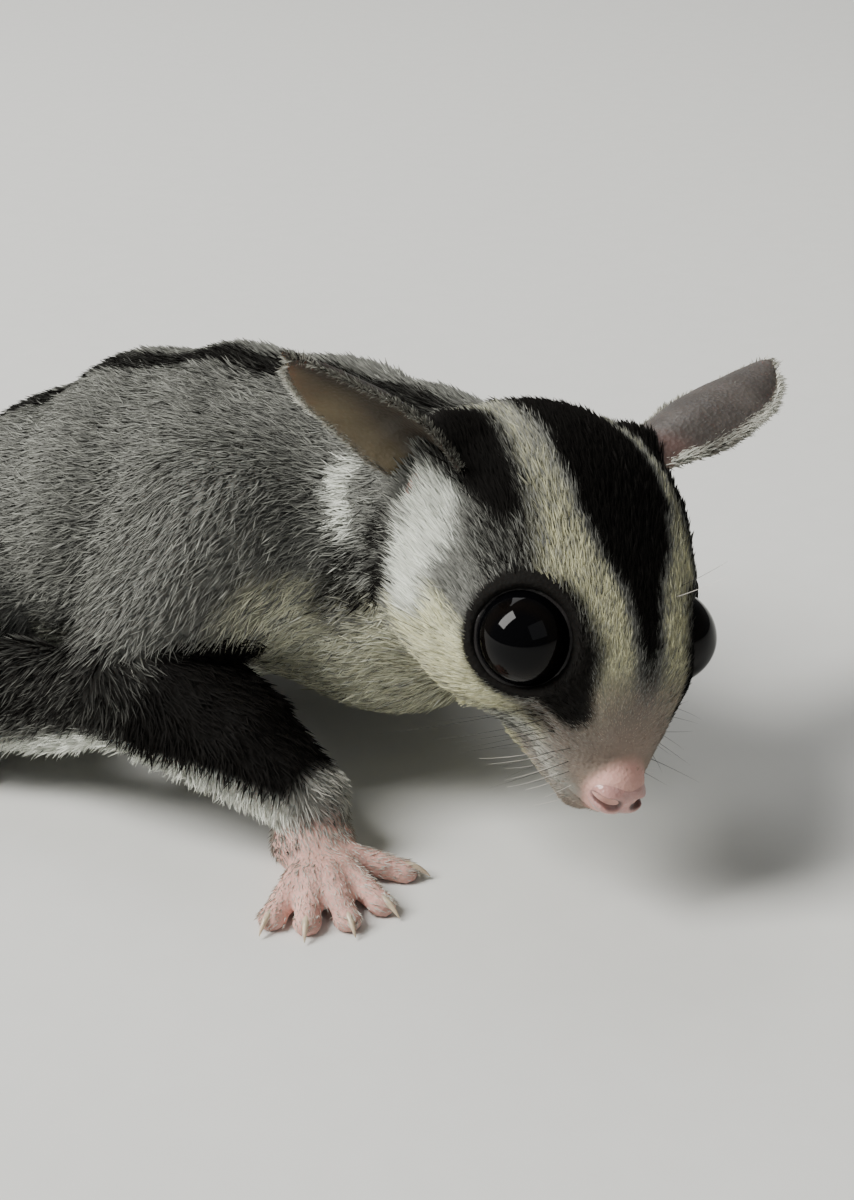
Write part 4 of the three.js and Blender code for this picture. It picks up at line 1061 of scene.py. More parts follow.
# How far light spreads in bare skin: metres for red, green and blue
SKIN_SCATTER = (0.0012, 0.0005, 0.0003)
STRAND_LOOKS = {
    "fur_short": {"Root": 0.62, "Tip": 1.1, "Ticking": 0.35},
    "fur_body": {"Root": 0.56, "Tip": 1.12, "Ticking": 0.45},
    "fur_tail": {"Root": 0.42, "Tip": 1.08, "Ticking": 0.35},
    "fur_ear": {"Root": 0.9, "Tip": 1.1, "Ticking": 0.8},
}


def coat_material(name):
    def build(tree, shader):
        colours = coat_colours(tree)
        strand = add_node(tree, "ShaderNodeAttribute", attribute_name="strand").outputs["Color"]
        shaded = place_group(tree, strand_group(), {
            "Colour": colours["Colour"], "Strand": strand, "Dark share": colours["Dark share"],
            "Pale share": colours["Pale share"],
            "Pale tip": rgba(bpy.context.scene.glider_coat.ticking), **STRAND_LOOKS[name],
        })
        tree.links.new(shaded["Colour"], shader.inputs["Base Color"])
    return material(name, build, Roughness=0.65, Specular_IOR_Level=0.04)


def skin_material():
    def build(tree, shader):
        palette = bpy.context.scene.glider_coat
        colours = coat_colours(tree)
        bare = add_node(tree, "ShaderNodeAttribute", attribute_name="bare").outputs
        parts = add_node(tree, "ShaderNodeSeparateColor", {"Color": bare["Color"]}).outputs
        pores = place_group(tree, pores_group(), {"Pore scale": 2600.0, "Crease scale": 900.0,
                                                  "Mottle scale": 260.0})
        under = mixed(tree, 0.3, colours["Colour"], rgba(palette.dark))
        flesh = mixed(tree, pores["Mottle"], rgba(palette.flesh), rgba(palette.flesh, 0.72))
        colour = mixed(tree, parts["Red"], under, flesh)
        colour = mixed(tree, parts["Green"], colour, rgba(palette.lip))
        colour = mixed(tree, parts["Blue"], colour, rgba(palette.dark))
        tree.links.new(colour, shader.inputs["Base Color"])
        tree.links.new(ranged(tree, parts["Red"], 0, 1, 0.8, 0.42), shader.inputs["Roughness"])
        bumped(tree, shader, pores["Height"], 0.00011)
    return material("skin_under_coat", build, Specular_IOR_Level=0.06, Subsurface_Weight=0.12,
                    Subsurface_Radius=SKIN_SCATTER, Subsurface_Scale=1.0)


def nose_material():
    def build(tree, shader):
        palette = bpy.context.scene.glider_coat
        pores = place_group(tree, pores_group(), {"Pore scale": 3600.0, "Crease scale": 1500.0,
                                                  "Mottle scale": 500.0})
        hollow = add_node(tree, "ShaderNodeAttribute", attribute_name="hollow").outputs["Fac"]
        colour = mixed(tree, pores["Mottle"], rgba(palette.nose), rgba(palette.nose, 0.8))
        # Painted shade: the skin inside each nostril is darkened
        colour = mixed(tree, hollow, colour, rgba(palette.nose, 0.22))
        tree.links.new(colour, shader.inputs["Base Color"])
        bumped(tree, shader, pores["Height"], 0.00009)
    return material("nose_skin", build, Roughness=0.3, Specular_IOR_Level=0.55, Subsurface_Weight=0.2,
                    Subsurface_Radius=SKIN_SCATTER, Subsurface_Scale=1.0, Coat_Weight=0.35,
                    Coat_Roughness=0.2)


def ear_material():
    def build(tree, shader):
        palette = bpy.context.scene.glider_coat
        leaf = add_node(tree, "ShaderNodeAttribute", attribute_name="leaf").outputs
        parts = add_node(tree, "ShaderNodeSeparateColor", {"Color": leaf["Color"]}).outputs
        pores = place_group(tree, pores_group(), {"Pore scale": 2200.0, "Crease scale": 700.0,
                                                  "Mottle scale": 190.0})
        inside = mixed(tree, pores["Mottle"], rgba(palette.ear_inside), rgba(palette.ear_inside, 0.74))
        outside = mixed(tree, pores["Mottle"], rgba(palette.ear_outside), rgba(palette.ear_outside, 0.65))
        colour = mixed(tree, parts["Blue"], outside, inside)
        colour = mixed(tree, parts["Green"], colour, rgba(palette.ear_rim))
        # Painted shade: the dark edge colour is laid over the front half and the tip of the ear
        colour = mixed(tree, leaf["Alpha"], colour, rgba(palette.ear_edge_shade))
        colour = mixed(tree, parts["Red"], colour, rgba(palette.ear_root))
        tree.links.new(colour, shader.inputs["Base Color"])
        bumped(tree, shader, pores["Height"], 0.0001)
    return material("ear_skin", build, Roughness=0.5, Specular_IOR_Level=0.35, Subsurface_Weight=0.1,
                    Subsurface_Radius=(0.0015, 0.0006, 0.0003), Subsurface_Scale=1.0)


def eye_material():
    def build(tree, shader):
        palette = bpy.context.scene.glider_coat
        gaze = add_node(tree, "ShaderNodeAttribute", attribute_name="gaze").outputs["Fac"]
        rays = add_node(tree, "ShaderNodeTexNoise", {
            "Vector": add_node(tree, "ShaderNodeTexCoord").outputs["Object"], "Scale": 1500.0, "Detail": 3.0})
        iris = mixed(tree, rays.outputs["Fac"], rgba(palette.iris, 0.5), rgba(palette.iris))
        ring = maths(tree, "MULTIPLY", ranged(tree, gaze, 0.5, 0.7), ranged(tree, gaze, 0.78, 0.98, 1.0, 0.0))
        tree.links.new(mixed(tree, ring, (0.0012, 0.0012, 0.0016, 1), iris), shader.inputs["Base Color"])
    return material("eye_wet", build, Roughness=0.05, Specular_IOR_Level=0.115)


def lid_material():
    def build(tree, shader):
        palette = bpy.context.scene.glider_coat
        pores = place_group(tree, pores_group(), {"Pore scale": 4200.0, "Crease scale": 2000.0,
                                                  "Mottle scale": 700.0})
        colour = mixed(tree, pores["Mottle"], rgba(palette.lid), rgba(palette.lid, 0.5))
        tree.links.new(colour, shader.inputs["Base Color"])
        bumped(tree, shader, pores["Height"], 0.00006)
    return material("lid_skin", build, Roughness=0.4, Specular_IOR_Level=0.3, Coat_Weight=0.1,
                    Coat_Roughness=0.25)


def claw_material():
    def build(tree, shader):
        palette = bpy.context.scene.glider_coat
        along = add_node(tree, "ShaderNodeAttribute", attribute_name="along").outputs["Fac"]
        grain = add_node(tree, "ShaderNodeTexNoise", {
            "Vector": add_node(tree, "ShaderNodeTexCoord").outputs["Object"], "Scale": 1800.0, "Detail": 3.0})
        horn = mixed(tree, grain.outputs["Fac"], rgba(palette.claw), rgba(palette.claw, 0.8))
        colour = mixed(tree, ranged(tree, along, 0.05, 0.5, 1.0, 0.0), horn, rgba(palette.claw_root))
        tree.links.new(colour, shader.inputs["Base Color"])
        bumped(tree, shader, grain.outputs["Fac"], 0.00003)
    return material("claw_horn", build, Roughness=0.28, Specular_IOR_Level=0.5, Subsurface_Weight=0.15,
                    Subsurface_Radius=(0.0008, 0.0005, 0.0003), Subsurface_Scale=1.0)


def whisker_material(name):
    def build(tree, shader):
        palette = bpy.context.scene.glider_coat
        tone = palette.whisker_dark if name.endswith("dark") else palette.whisker_pale
        along = add_node(tree, "ShaderNodeAttribute", attribute_name="along").outputs["Fac"]
        tree.links.new(mixed(tree, along, rgba(tone, 0.7), rgba(tone, 1.25)), shader.inputs["Base Color"])
    return material(name, build, Roughness=0.32, Specular_IOR_Level=0.5)


def set_numbers(obj, name, values):
    layer = obj.data.attributes.new(name, "FLOAT", "POINT")
    layer.data.foreach_set("value", np.asarray(values, np.float32))


# ---------------------------------------------------------------- pieces of the face


def join_meshes(parts):
    """Several (points, faces) as one."""
    points, faces, start = [], [], 0
    for p, f in parts:
        points.append(p)
        faces.append(np.asarray(f) + start)
        start += len(p)
    return np.vstack(points), np.vstack(faces)


def tube(line, radii, sides, flat=1.0):
    """A closed tapering tube of quads and end fans, all as triangles, and how far along each point is."""
    line = np.asarray(line, np.float64)
    ways = unit(np.gradient(line, axis=0))
    aside = unit(np.cross(ways, vec(0.13, 0.21, 1.0)))
    up = unit(np.cross(aside, ways))
    turn = np.arange(sides) / sides * 2 * math.pi
    ring = (aside[:, None] * np.cos(turn)[None, :, None] + up[:, None] * (np.sin(turn) * flat)[None, :, None])
    points = line[:, None] + ring * np.asarray(radii, np.float64)[:, None, None]
    n = len(line)
    points = np.vstack([points.reshape(-1, 3), line[:1], line[-1:]])
    faces = []
    for i in range(n - 1):
        for j in range(sides):
            k = (j + 1) % sides
            a, b, c, d = i * sides + j, i * sides + k, (i + 1) * sides + k, (i + 1) * sides + j
            faces += [(a, c, b), (a, d, c)]
    for j in range(sides):
        k = (j + 1) % sides
        faces += [(n * sides, j, k), (n * sides + 1, (n - 1) * sides + k, (n - 1) * sides + j)]
    along = np.concatenate([np.repeat(np.linspace(0, 1, n), sides), [0, 1]])
    return points, np.array(faces)[:, ::-1], along


def eye_axes(side):
    axis = mirrored(GAZE, side)
    to_nose = vec(1, 0, -0.35)
    to_nose = unit(to_nose - (to_nose @ axis) * axis)
    return axis, to_nose, np.cross(axis, to_nose)


def eye_ball(side):
    """The ball of the eye, with the clear front standing a little proud of it."""
    axis, to_nose, across = eye_axes(side)
    rings, sides = 48, 72
    tilt = np.linspace(0, math.pi, rings + 1)
    turn = np.arange(sides) / sides * 2 * math.pi
    proud = 0.28 * np.exp(-(np.degrees(tilt) / 42) ** 2)
    radius = EYE_RADIUS + proud
    centre = mirrored(EYE_CENTRE, side)
    points = centre + radius[:, None, None] * (
        np.cos(tilt)[:, None, None] * axis
        + np.sin(tilt)[:, None, None] * (np.cos(turn)[None, :, None] * to_nose
                                         + np.sin(turn)[None, :, None] * across))
    grid = np.arange((rings + 1) * sides).reshape(rings + 1, sides)
    a, b = grid[:-1], np.roll(grid[:-1], -1, axis=1)
    c, d = np.roll(grid[1:], -1, axis=1), grid[1:]
    faces = np.stack([a, d, c, b], -1).reshape(-1, 4)
    return points.reshape(-1, 3), faces, np.repeat(tilt, sides)


def lid_rim(side):
    """The rim of the lids: a soft roll that lies on the ball and runs back under the coat."""
    axis, to_nose, across = eye_axes(side)
    steps = 96
    turn = np.arange(steps) / steps * 2 * math.pi
    front = np.maximum(0, np.cos(turn)) ** 6
    rear = np.maximum(0, -np.cos(turn)) ** 6
    opening = EYE_OPENING + 7 * front + 4 * rear
    # Each step of the roll's section: degrees beyond the opening and height over the ball
    section = [(-1.2, -0.25), (-0.7, 0.06), (0.0, 0.2), (1.4, 0.29), (3.2, 0.31), (5.2, 0.24),
               (7.6, 0.06), (10.4, -0.2), (14.0, -0.5), (18.0, -0.8), (13.0, -0.95), (4.0, -0.6)]
    rings = []
    wrinkle = 1 + 0.08 * np.sin(turn * 11 + 0.5) + 0.05 * np.sin(turn * 23)
    for wide, high in section:
        tilt = np.radians(opening + wide)
        radius = EYE_RADIUS + high * (wrinkle if high > 0.28 else 1)
        rings.append(mirrored(EYE_CENTRE, side) + (radius * np.cos(tilt))[:, None] * axis
                     + (radius * np.sin(tilt) * np.cos(turn))[:, None] * to_nose
                     + (radius * np.sin(tilt) * np.sin(turn))[:, None] * across)
    points = np.vstack(rings)
    grid = np.arange(len(points)).reshape(len(section), steps)
    a, b = grid, np.roll(grid, -1, axis=1)
    c, d = np.roll(b, -1, axis=0), np.roll(grid, -1, axis=0)
    faces = np.stack([a, b, c, d], -1).reshape(-1, 4)
    return points, faces if side == RIGHT else faces[:, ::-1]


def nose_field(h):
    """The nose pad in the head's frame: two wings about a groove, with a nostril at each side."""
    q = near_side(h)
    pad = ellipsoid(q, NOSE_CENTRE, vec(2.35, 2.55, 2.2))
    wing = ellipsoid(q, NOSE_CENTRE + vec(0.5, -1.25, -0.15), vec(1.9, 1.5, 1.55))
    base = ellipsoid(h, NOSE_CENTRE + vec(-0.5, 0, -1.5), vec(2.0, 1.25, 1.9))
    form = blend(blend(pad, wing, 0.9), base, 0.8)
    groove = np.abs(h[:, 1]) + 0.2 * smooth(-6.0, -4.6, h[:, 2])
    form = form + 0.28 * np.exp(-(groove / 0.26) ** 2) * smooth(-5.0, -6.4, h[:, 2])
    nostril = rod(q, [NOSE_CENTRE + vec(2.3, -1.15, 0.2), NOSE_CENTRE + vec(1.5, -1.9, 0.1),
                      NOSE_CENTRE + vec(0.6, -2.9, -0.1)], [0.56, 0.46, 0.26])
    return -blend(-form, nostril, 0.5), nostril


def nose_pad():
    lines = [np.arange(13.4, 21.4, 0.16), np.arange(-3.9, 3.9, 0.16), np.arange(-10.6, -2.9, 0.16)]
    points, quads = mesh_field(lambda p: nose_field(p)[0], lines, block=6, band=2.0)
    # How far into a nostril each point lies, for the nostrils' painted shade
    hollow = 1 - smooth(-0.05, 0.3, nose_field(points)[1])
    return points, quads, hollow


# Each ear: how its length runs, the way from its front edge to its rear, its root, its sweep and its curl
EAR_POSES = {
    RIGHT: (vec(-0.34, -0.796, 0.5), vec(-0.645, -0.19, -0.74), vec(2.1, -0.6, -2.6), 1.25, 1.3),
    LEFT: (vec(-0.353, 0.907, 0.231), vec(-0.796, -0.161, -0.584), vec(0.2, 1.6, 1.1), 1.9, -2.5),
}
EAR_OUTLINE = ([-0.2, 0, 0.2, 0.4, 0.6, 0.8, 0.93, 1], [0.5, 0.66, 0.92, 1, 0.92, 0.64, 0.34, 0.06])


def ear_leaf(side):
    """An ear: a leaf bent into a cup, thinning to its rim, with folds near its root."""
    along, across, offset, sweep, curl = EAR_POSES[side]
    along = unit(along)
    across = unit(across - (across @ along) * along)
    opening = np.cross(along, across) * side
    root = mirrored(EAR_ROOT, side) + offset
    rows, columns = 84, 40
    t = -0.2 + 1.2 * np.sin(np.linspace(0, 1, rows) * math.pi / 2)
    knots, widths = EAR_OUTLINE
    fine = np.linspace(-0.2, 1, 241)
    share = np.interp(fine, knots, widths)
    for _ in range(26):
        share[1:-1] = (share[:-2] + share[1:-1] * 2 + share[2:]) / 4
    share = np.interp(t, fine, share) * np.sqrt(np.clip((1.004 - t) / 0.06, 0, 1))
    u = np.sin(np.linspace(-1, 1, columns) * math.pi / 2)
    T, U = np.meshgrid(t, u, indexing="ij")
    S = np.repeat(share[:, None], columns, 1)
    depth = EAR_DEPTH * S * (1.15 - 0.5 * np.maximum(T, 0))
    half = EAR_WIDTH / 2 * S
    thick = mix(0.95, 0.34, smooth(0.1, 1.0, T)) * mix(1.0, 0.4, smooth(0.7, 1.0, np.abs(U)))
    fold = 0.5 * np.exp(-((U - 0.35) / 0.16) ** 2) * np.exp(-((T - 0.16) / 0.2) ** 2)
    ridges = 0.1 * np.sin(T * 46 + U * 3) * np.exp(-((T - 0.24) / 0.2) ** 2) * (1 - U ** 2)
    ripple = 0.22 * np.sin(T * 9 + 1.0) * smooth(0.45, 1.0, np.abs(U)) * smooth(0.1, 0.5, T)

    def sheet(lift):
        return (root + along * (EAR_LENGTH * T + 0.9 * (1 - U ** 2) * T)[..., None]
                + across * (half * U + sweep * T ** 2)[..., None]
                + opening * (depth * (U ** 2 - 1) + lift + curl * T ** 2 + ripple)[..., None])
    inner, outer = sheet(thick / 2 + fold + ridges), sheet(-thick / 2)
    points = np.vstack([inner.reshape(-1, 3), outer.reshape(-1, 3)])
    grid = np.arange(rows * columns).reshape(rows, columns)
    back = grid + rows * columns
    front_faces = np.stack([grid[:-1, :-1], grid[:-1, 1:], grid[1:, 1:], grid[1:, :-1]], -1).reshape(-1, 4)
    back_faces = np.stack([back[:-1, :-1], back[1:, :-1], back[1:, 1:], back[:-1, 1:]], -1).reshape(-1, 4)

    def strip(a, b):
        return np.stack([a[:-1], a[1:], b[1:], b[:-1]], -1)
    rims = [strip(grid[:, 0], back[:, 0]), strip(back[:, -1], grid[:, -1]),
            strip(back[0], grid[0]), strip(grid[-1], back[-1])]
    faces = np.vstack([front_faces, back_faces, *rims])
    if side == LEFT:
        faces = faces[:, ::-1]
    # Shares of the pink root, the thin rim, the inside and the dark front edge, whose painted shade spreads over
    # the front half and towards the tip
    t_all, u_all = np.tile(T.ravel(), 2), np.tile(U.ravel(), 2)
    leaf = np.stack([1 - smooth(-0.06, 0.08, t_all + 0.08 * u_all), smooth(0.88, 1.0, np.abs(u_all)) * 0.7,
                     np.repeat([1.0, 0.0], rows * columns),
                     np.clip(smooth(0.95, 0.05, u_all) * 0.9 + smooth(0.55, 1.0, t_all) * 0.4, 0, 0.94)], 1)
    if side == LEFT:
        leaf[:, 0] *= 0.15
        # The far ear's painted shade: a dark band near its front edge, strongest towards its root
        leaf[:, 3] = 0.05 + 0.6 * np.exp(-((u_all + 0.5) / 0.3) ** 2) * smooth(0.75, 0.1, t_all)
    spread = np.stack([np.tile((U.ravel() + 1) / 2, 2) * 0.5 + np.repeat([0, 0.5], rows * columns),
                       np.tile((T.ravel() + 0.2) / 1.2, 2)], 1)
    ways = np.tile(unit(along * 1.0 + across * U[..., None] * 0.7).reshape(-1, 3), (2, 1))
    return points, faces, leaf, spread, ways, t_all, np.abs(u_all)


class EarSkin:
    """The ear's mesh with the facts that its fine hair needs."""

    def __init__(self, points, faces, leaf, spread, ways, t, rim):
        self.points = on_head(points)
        self.normals = vertex_normals(self.points, faces)
        if ((self.points - self.points.mean(0)) * self.normals).sum() < 0:
            self.normals = -self.normals
        self.triangles = np.vstack([faces[:, [0, 1, 2]], faces[:, [0, 2, 3]]])
        self.way = ways @ HEAD_TURN.T
        inside, front = leaf[:, 2], leaf[:, 3]
        self.length = mix(0.7, 1.3, smooth(0.75, 1.0, rim)) * np.where(inside > 0.5, 0.7, 1.0)
        self.lift = np.radians(mix(16, 42, smooth(0.8, 1.0, rim)))
        pale = smooth(0.8, 1.0, rim) * mix(0.7, 0.25, front) * smooth(0.1, 0.5, t) + 0.1
        pale = np.maximum(pale, 0.9 * (1 - smooth(-0.02, 0.16, t)))
        # The ear's hair is darkened by the same painted shade as the leaf beneath it
        dark = np.where(inside > 0.5, 0.1 + 0.7 * front, 0.45 + 0.5 * front) * (1 - pale)
        self.marks = np.clip(np.stack([dark, pale * 0.3, pale, np.full(len(t), 0.25)], 1), 0, 1)
        self.growing = (smooth(-0.12, 0.0, t) * mix(0.35, 1.6, smooth(0.8, 1.0, rim))
                        * np.where(inside > 0.5, 0.35, 1.0))
        self.spread = spread


# ---------------------------------------------------------------- claws and whiskers


def claw_set():
    """Every claw: a curved, pointed hook."""
    parts, runs = [], []
    for name in PAWS:
        for line, way, length, clawed in toes_of(name):
            if not clawed:
                continue
            base = line[0] * vec(1, 1, 0) + way * length * 0.84 + vec(0, 0, 1.3)
            steps = np.linspace(0, 1, 9)
            rise = 1.3 + 0.62 * np.sin(steps * math.pi * 0.62) - 1.5 * steps ** 2.4
            points = base * vec(1, 1, 0) + way * ((CLAW_LENGTH + 1.2) * steps)[:, None]
            points = points + np.maximum(rise, 0.16)[:, None] * vec(0, 0, 1)
            radii = 0.52 * (1 - steps) ** 0.65 + 0.045
            made, faces, along = tube(points, radii, 10)
            parts.append((made, faces))
            runs.append(along)
    points, faces = join_meshes(parts)
    return points, faces, np.concatenate(runs)


# Each row: the first and last root in the head's frame (x, z), how many, their length and whether dark
WHISKER_ROWS = [
    ((9.4, -3.8), (14.2, -4.0), 4, 9.5, True),
    ((9.2, -5.2), (14.8, -5.2), 5, 11, True),
    ((9.8, -6.6), (15.2, -6.4), 4, 8, True),
    ((12.4, -7.7), (16.0, -7.2), 4, 6, False),
    ((9.6, -10.6), (14.6, -11.2), 4, 4.5, False),
]


def whisker_set(dark, scale):
    """Whiskers of one tone: fine tapered hairs that sweep out, back and a little down."""
    rng = np.random.default_rng(41 if dark else 42)
    parts, runs = [], []

    def add(root, way, length, droop):
        steps = np.linspace(0, 1, 9)
        bend = unit(vec(-0.7, 0, -0.55) + rng.normal(0, 0.15, 3))
        line = root - way * 0.6 + way * (length * steps)[:, None] + bend * (length * droop * steps ** 2)[:, None]
        thick = mix(0.028, 0.045, min(length / 12, 1))
        made, faces, along = tube(line, thick * (1 - 0.86 * steps), 4)
        parts.append((made, faces))
        runs.append(along)
    for side in (RIGHT, LEFT):
        for (x0, z0), (x1, z1), count, length, is_dark in WHISKER_ROWS:
            for n in range(count):
                share = (n + rng.uniform(-0.2, 0.2)) / max(count - 1, 1)
                start = vec(mix(x0, x1, share), 0, mix(z0, z1, share) + rng.normal(0, 0.25))
                jitter = rng.normal(0, 0.1, 3)
                reach = length * rng.uniform(0.65, 1.1) * mix(1.15, 0.7, share) * scale
                droop = rng.uniform(0.12, 0.32)
                if is_dark != dark:
                    continue
                root = reach_skin(start[None], unit(vec(0.1, -side, 0))[None])[0]
                way = unit(vec(0.3 * share - 0.1, -side * 0.85, -0.34 + 0.06 * (z0 + 6)) + jitter)
                add(root, way, reach, droop)
        # A few long ones on the brow and the cheek
        for at, way, length, is_dark in (
                ((7.2, -4.4, 9), (0.45, -0.35, 0.9), 7, side == RIGHT),
                ((6.0, -5.4, 9), (0.25, -0.55, 0.9), 6, True),
                ((1.6, -14, -3.4), (-0.62, -0.8, 0.1), 8, True),
                ((0.8, -14, -4.6), (-0.7, -0.75, -0.2), 9, True)):
            reach = length * rng.uniform(0.85, 1.1) * scale
            if is_dark != dark:
                continue
            at, way = mirrored(vec(*at), side), unit(mirrored(vec(*way), side))
            centre = vec(at[0], 0, 0)
            root = reach_skin(centre[None], unit(at - centre)[None])[0]
            add(root, way, reach, 0.15)
    points, faces = join_meshes(parts)
    return on_head(points), faces, np.concatenate(runs)


# ---------------------------------------------------------------- settings, operators and panel


def colour_setting(name, description, default):
    return FloatVectorProperty(name=name, description=description, subtype="COLOR", size=3, min=0, max=1,
                               default=default)


class GliderCoat(bpy.types.PropertyGroup):
    grey: colour_setting("Grey", "Main colour of the coat", (0.165, 0.166, 0.152))
    dark: colour_setting("Dark", "Stripe, eye patches and other dark fur", (0.0075, 0.0068, 0.0062))
    cream: colour_setting("Cream", "Bands beside the stripe, cheeks and belly", (0.7, 0.68, 0.43))
    white: colour_setting("White", "Patch below the ear and edge of the gliding fold", (0.76, 0.78, 0.71))
    ticking: colour_setting("Ticking", "Pale tips of single hairs", (0.5, 0.51, 0.45))
    muzzle: colour_setting("Muzzle", "Thin hair and skin of the muzzle and paws", (0.33, 0.255, 0.205))
    flesh: colour_setting("Flesh", "Bare skin of the paws", (0.72, 0.42, 0.36))
    lip: colour_setting("Lip", "Line of the mouth", (0.2, 0.085, 0.07))
    nose: colour_setting("Nose", "Nose pad", (0.52, 0.28, 0.25))
    ear_inside: colour_setting("Ear inside", "Bare inside of the ears", (0.17, 0.135, 0.078))
    ear_outside: colour_setting("Ear outside", "Back of the ears", (0.085, 0.073, 0.066))
    # On the ears this colour paints shade as well as the dark front edge
    ear_edge_shade: colour_setting("Ear edge", "Front edge of the ears", (0.028, 0.022, 0.018))
    ear_rim: colour_setting("Ear rim", "Thin rim of the ears", (0.26, 0.22, 0.17))
    ear_root: colour_setting("Ear root", "Skin where the ear opens", (0.3, 0.12, 0.1))
    iris: colour_setting("Iris", "Dark ring round the pupil", (0.0035, 0.0026, 0.0022))
    lid: colour_setting("Lids", "Bare rim of the lids", (0.012, 0.01, 0.01))
    claw: colour_setting("Claw", "Horn of the claws", (0.62, 0.5, 0.36))
    claw_root: colour_setting("Claw root", "Base of the claws", (0.16, 0.1, 0.075))
    whisker_dark: colour_setting("Dark whiskers", "Upper whiskers", (0.012, 0.011, 0.011))
    whisker_pale: colour_setting("Pale whiskers", "Lower whiskers", (0.75, 0.7, 0.64))
    head_tufts: IntProperty(name="Head tufts", description="Tufts on the head", default=110000, min=100,
                            max=130000)
    body_tufts: IntProperty(name="Body tufts", description="Tufts on neck and trunk", default=130000, min=100,
                            max=150000)
    limb_tufts: IntProperty(name="Limb tufts", description="Tufts on legs, feet and folds", default=46000,
                            min=100, max=60000)
    tail_tufts: IntProperty(name="Tail tufts", description="Tufts on the tail", default=23000, min=100,
                            max=30000)
    whisker_scale: FloatProperty(name="Whiskers", description="Length of the whiskers", default=1.0, min=0.2,
                                 max=1.5, subtype="FACTOR")


class GliderStudio(bpy.types.PropertyGroup):
    floor: colour_setting("Floor", "Colour of the floor", (0.66, 0.66, 0.64))
    key: FloatProperty(name="Key light", description="Power of the key light", default=44.0, min=0, unit="POWER")
    fill: FloatProperty(name="Fill light", description="Power of the fill light", default=3.0, min=0,
                        unit="POWER")
    rim: FloatProperty(name="Rim light", description="Power of the light behind", default=10.0, min=0,
                       unit="POWER")
    sky: FloatProperty(name="Sky", description="Strength of the even light from all round", default=0.19, min=0)


# The skin and where its hair grows, built once for all operators
BUILT = {}

# The cells of the skin's grid, the x behind which they are the tail's, and the box that the grid fills
SKIN_CELL, TAIL_CELL = 0.42, 1.0
TAIL_CELLS_BEHIND = -99
SKIN_BOX = ((-279, 26), (-29, 49), (-2, 51))


def the_skin():
    if not BUILT:
        along, *across = SKIN_BOX
        lines = [graded(*along, lambda x: SKIN_CELL if x > TAIL_CELLS_BEHIND else TAIL_CELL)]
        lines += [graded(*span, lambda _: SKIN_CELL) for span in across]
        skin = Skin(*largest_piece(*mesh_field(skin_field, lines)))
        BUILT.update(skin=skin, growing=bare_places(skin))
    return BUILT["skin"], BUILT["growing"]


class GLIDER_OT_skin(bpy.types.Operator):
    """Builds the one skin of head, neck, trunk, limbs, folds, paws and tail"""
    bl_idname = "glider.skin"
    bl_label = "Skin"

    def execute(self, context):
        skin, _ = the_skin()
        obj = mesh_object("skin", skin.points, skin.quads, [skin_material()])
        set_colours(obj, "marks", skin.marks)
        h = in_head(skin.points)
        lips, _, _ = nearest_on_line(h, LIPS)
        q = near_side(h)
        lips = np.where(np.linalg.norm(h, axis=1) < HEAD_REACH, lips, FAR)
        paws = smooth(0.3, 0.75, skin.shares["paws"])
        canal = np.linalg.norm(q - EAR_CANAL, axis=1)
        bare = np.maximum.reduce([paws, smooth(17.0, 18.0, h[:, 0]) * (np.linalg.norm(h, axis=1) < HEAD_REACH),
                                  1 - smooth(1.6, 2.6, canal)])
        tilt = np.degrees(np.arccos(np.clip(unit(q - EYE_CENTRE) @ GAZE, -1, 1)))
        dark = (1 - smooth(72, 78, tilt)) * (np.linalg.norm(q - EYE_CENTRE, axis=1) < 7)
        mouth = (1 - smooth(0.2, 0.6, lips)) * smooth(3, 9, h[:, 0]) * 0.85
        # Painted shade: the ear's opening is darkened with the lip colour
        mouth = np.maximum(mouth, 0.8 * (1 - smooth(1.0, 2.4, canal)))
        set_colours(obj, "bare", np.stack([bare, mouth, dark, np.ones(len(bare))], 1))
        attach(obj, "root")
        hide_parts("torso", "neck", "head", *LEGS, *FOLDS, *PAWS, "tail_1", "tail_2", "tail_3", "tail_4")
        return {"FINISHED"}


class GLIDER_OT_eyes(bpy.types.Operator):
    """Builds both eyes with the rims of their lids"""
    bl_idname = "glider.eyes"
    bl_label = "Eyes and lids"

    def execute(self, context):
        for side, word in ((RIGHT, "right"), (LEFT, "left")):
            points, faces, tilt = eye_ball(side)
            ball = mesh_object(f"eye_ball_{word}", on_head(points), faces, [eye_material()])
            set_numbers(ball, "gaze", tilt)
            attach(ball, "root")
            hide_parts(f"eye_{word}")
            points, faces = lid_rim(side)
            rim = mesh_object(f"lid_rim_{word}", on_head(points), faces, [lid_material()])
            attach(rim, "root")
        return {"FINISHED"}


class GLIDER_OT_nose(bpy.types.Operator):
    """Builds the nose pad with its nostrils"""
    bl_idname = "glider.nose"
    bl_label = "Nose"

    def execute(self, context):
        points, quads, hollow = nose_pad()
        obj = mesh_object("nose_pad", on_head(points), quads, [nose_material()])
        set_numbers(obj, "hollow", hollow)
        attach(obj, "root")
        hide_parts("nose")
        return {"FINISHED"}


class GLIDER_OT_ears(bpy.types.Operator):
    """Builds the cups of both ears with their fine hair"""
    bl_idname = "glider.ears"
    bl_label = "Ears"

    def execute(self, context):
        for side, word in ((RIGHT, "right"), (LEFT, "left")):
            points, faces, leaf, spread, ways, t, rim = ear_leaf(side)
            obj = mesh_object(f"ear_cup_{word}", on_head(points), faces, [ear_material()])
            set_colours(obj, "leaf", leaf)
            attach(obj, "root")
            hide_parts(f"ear_{word}")
            ear = EarSkin(points, faces, leaf, spread, ways, t, rim)
            rng = np.random.default_rng(60 + side)
            face, shares = sample_roots(ear, ear.growing, 8000, rng)
            tuft_piece(f"coat_ear_{word}", ear, face, shares, LOOKS["ear"], "ear", rng)
        return {"FINISHED"}


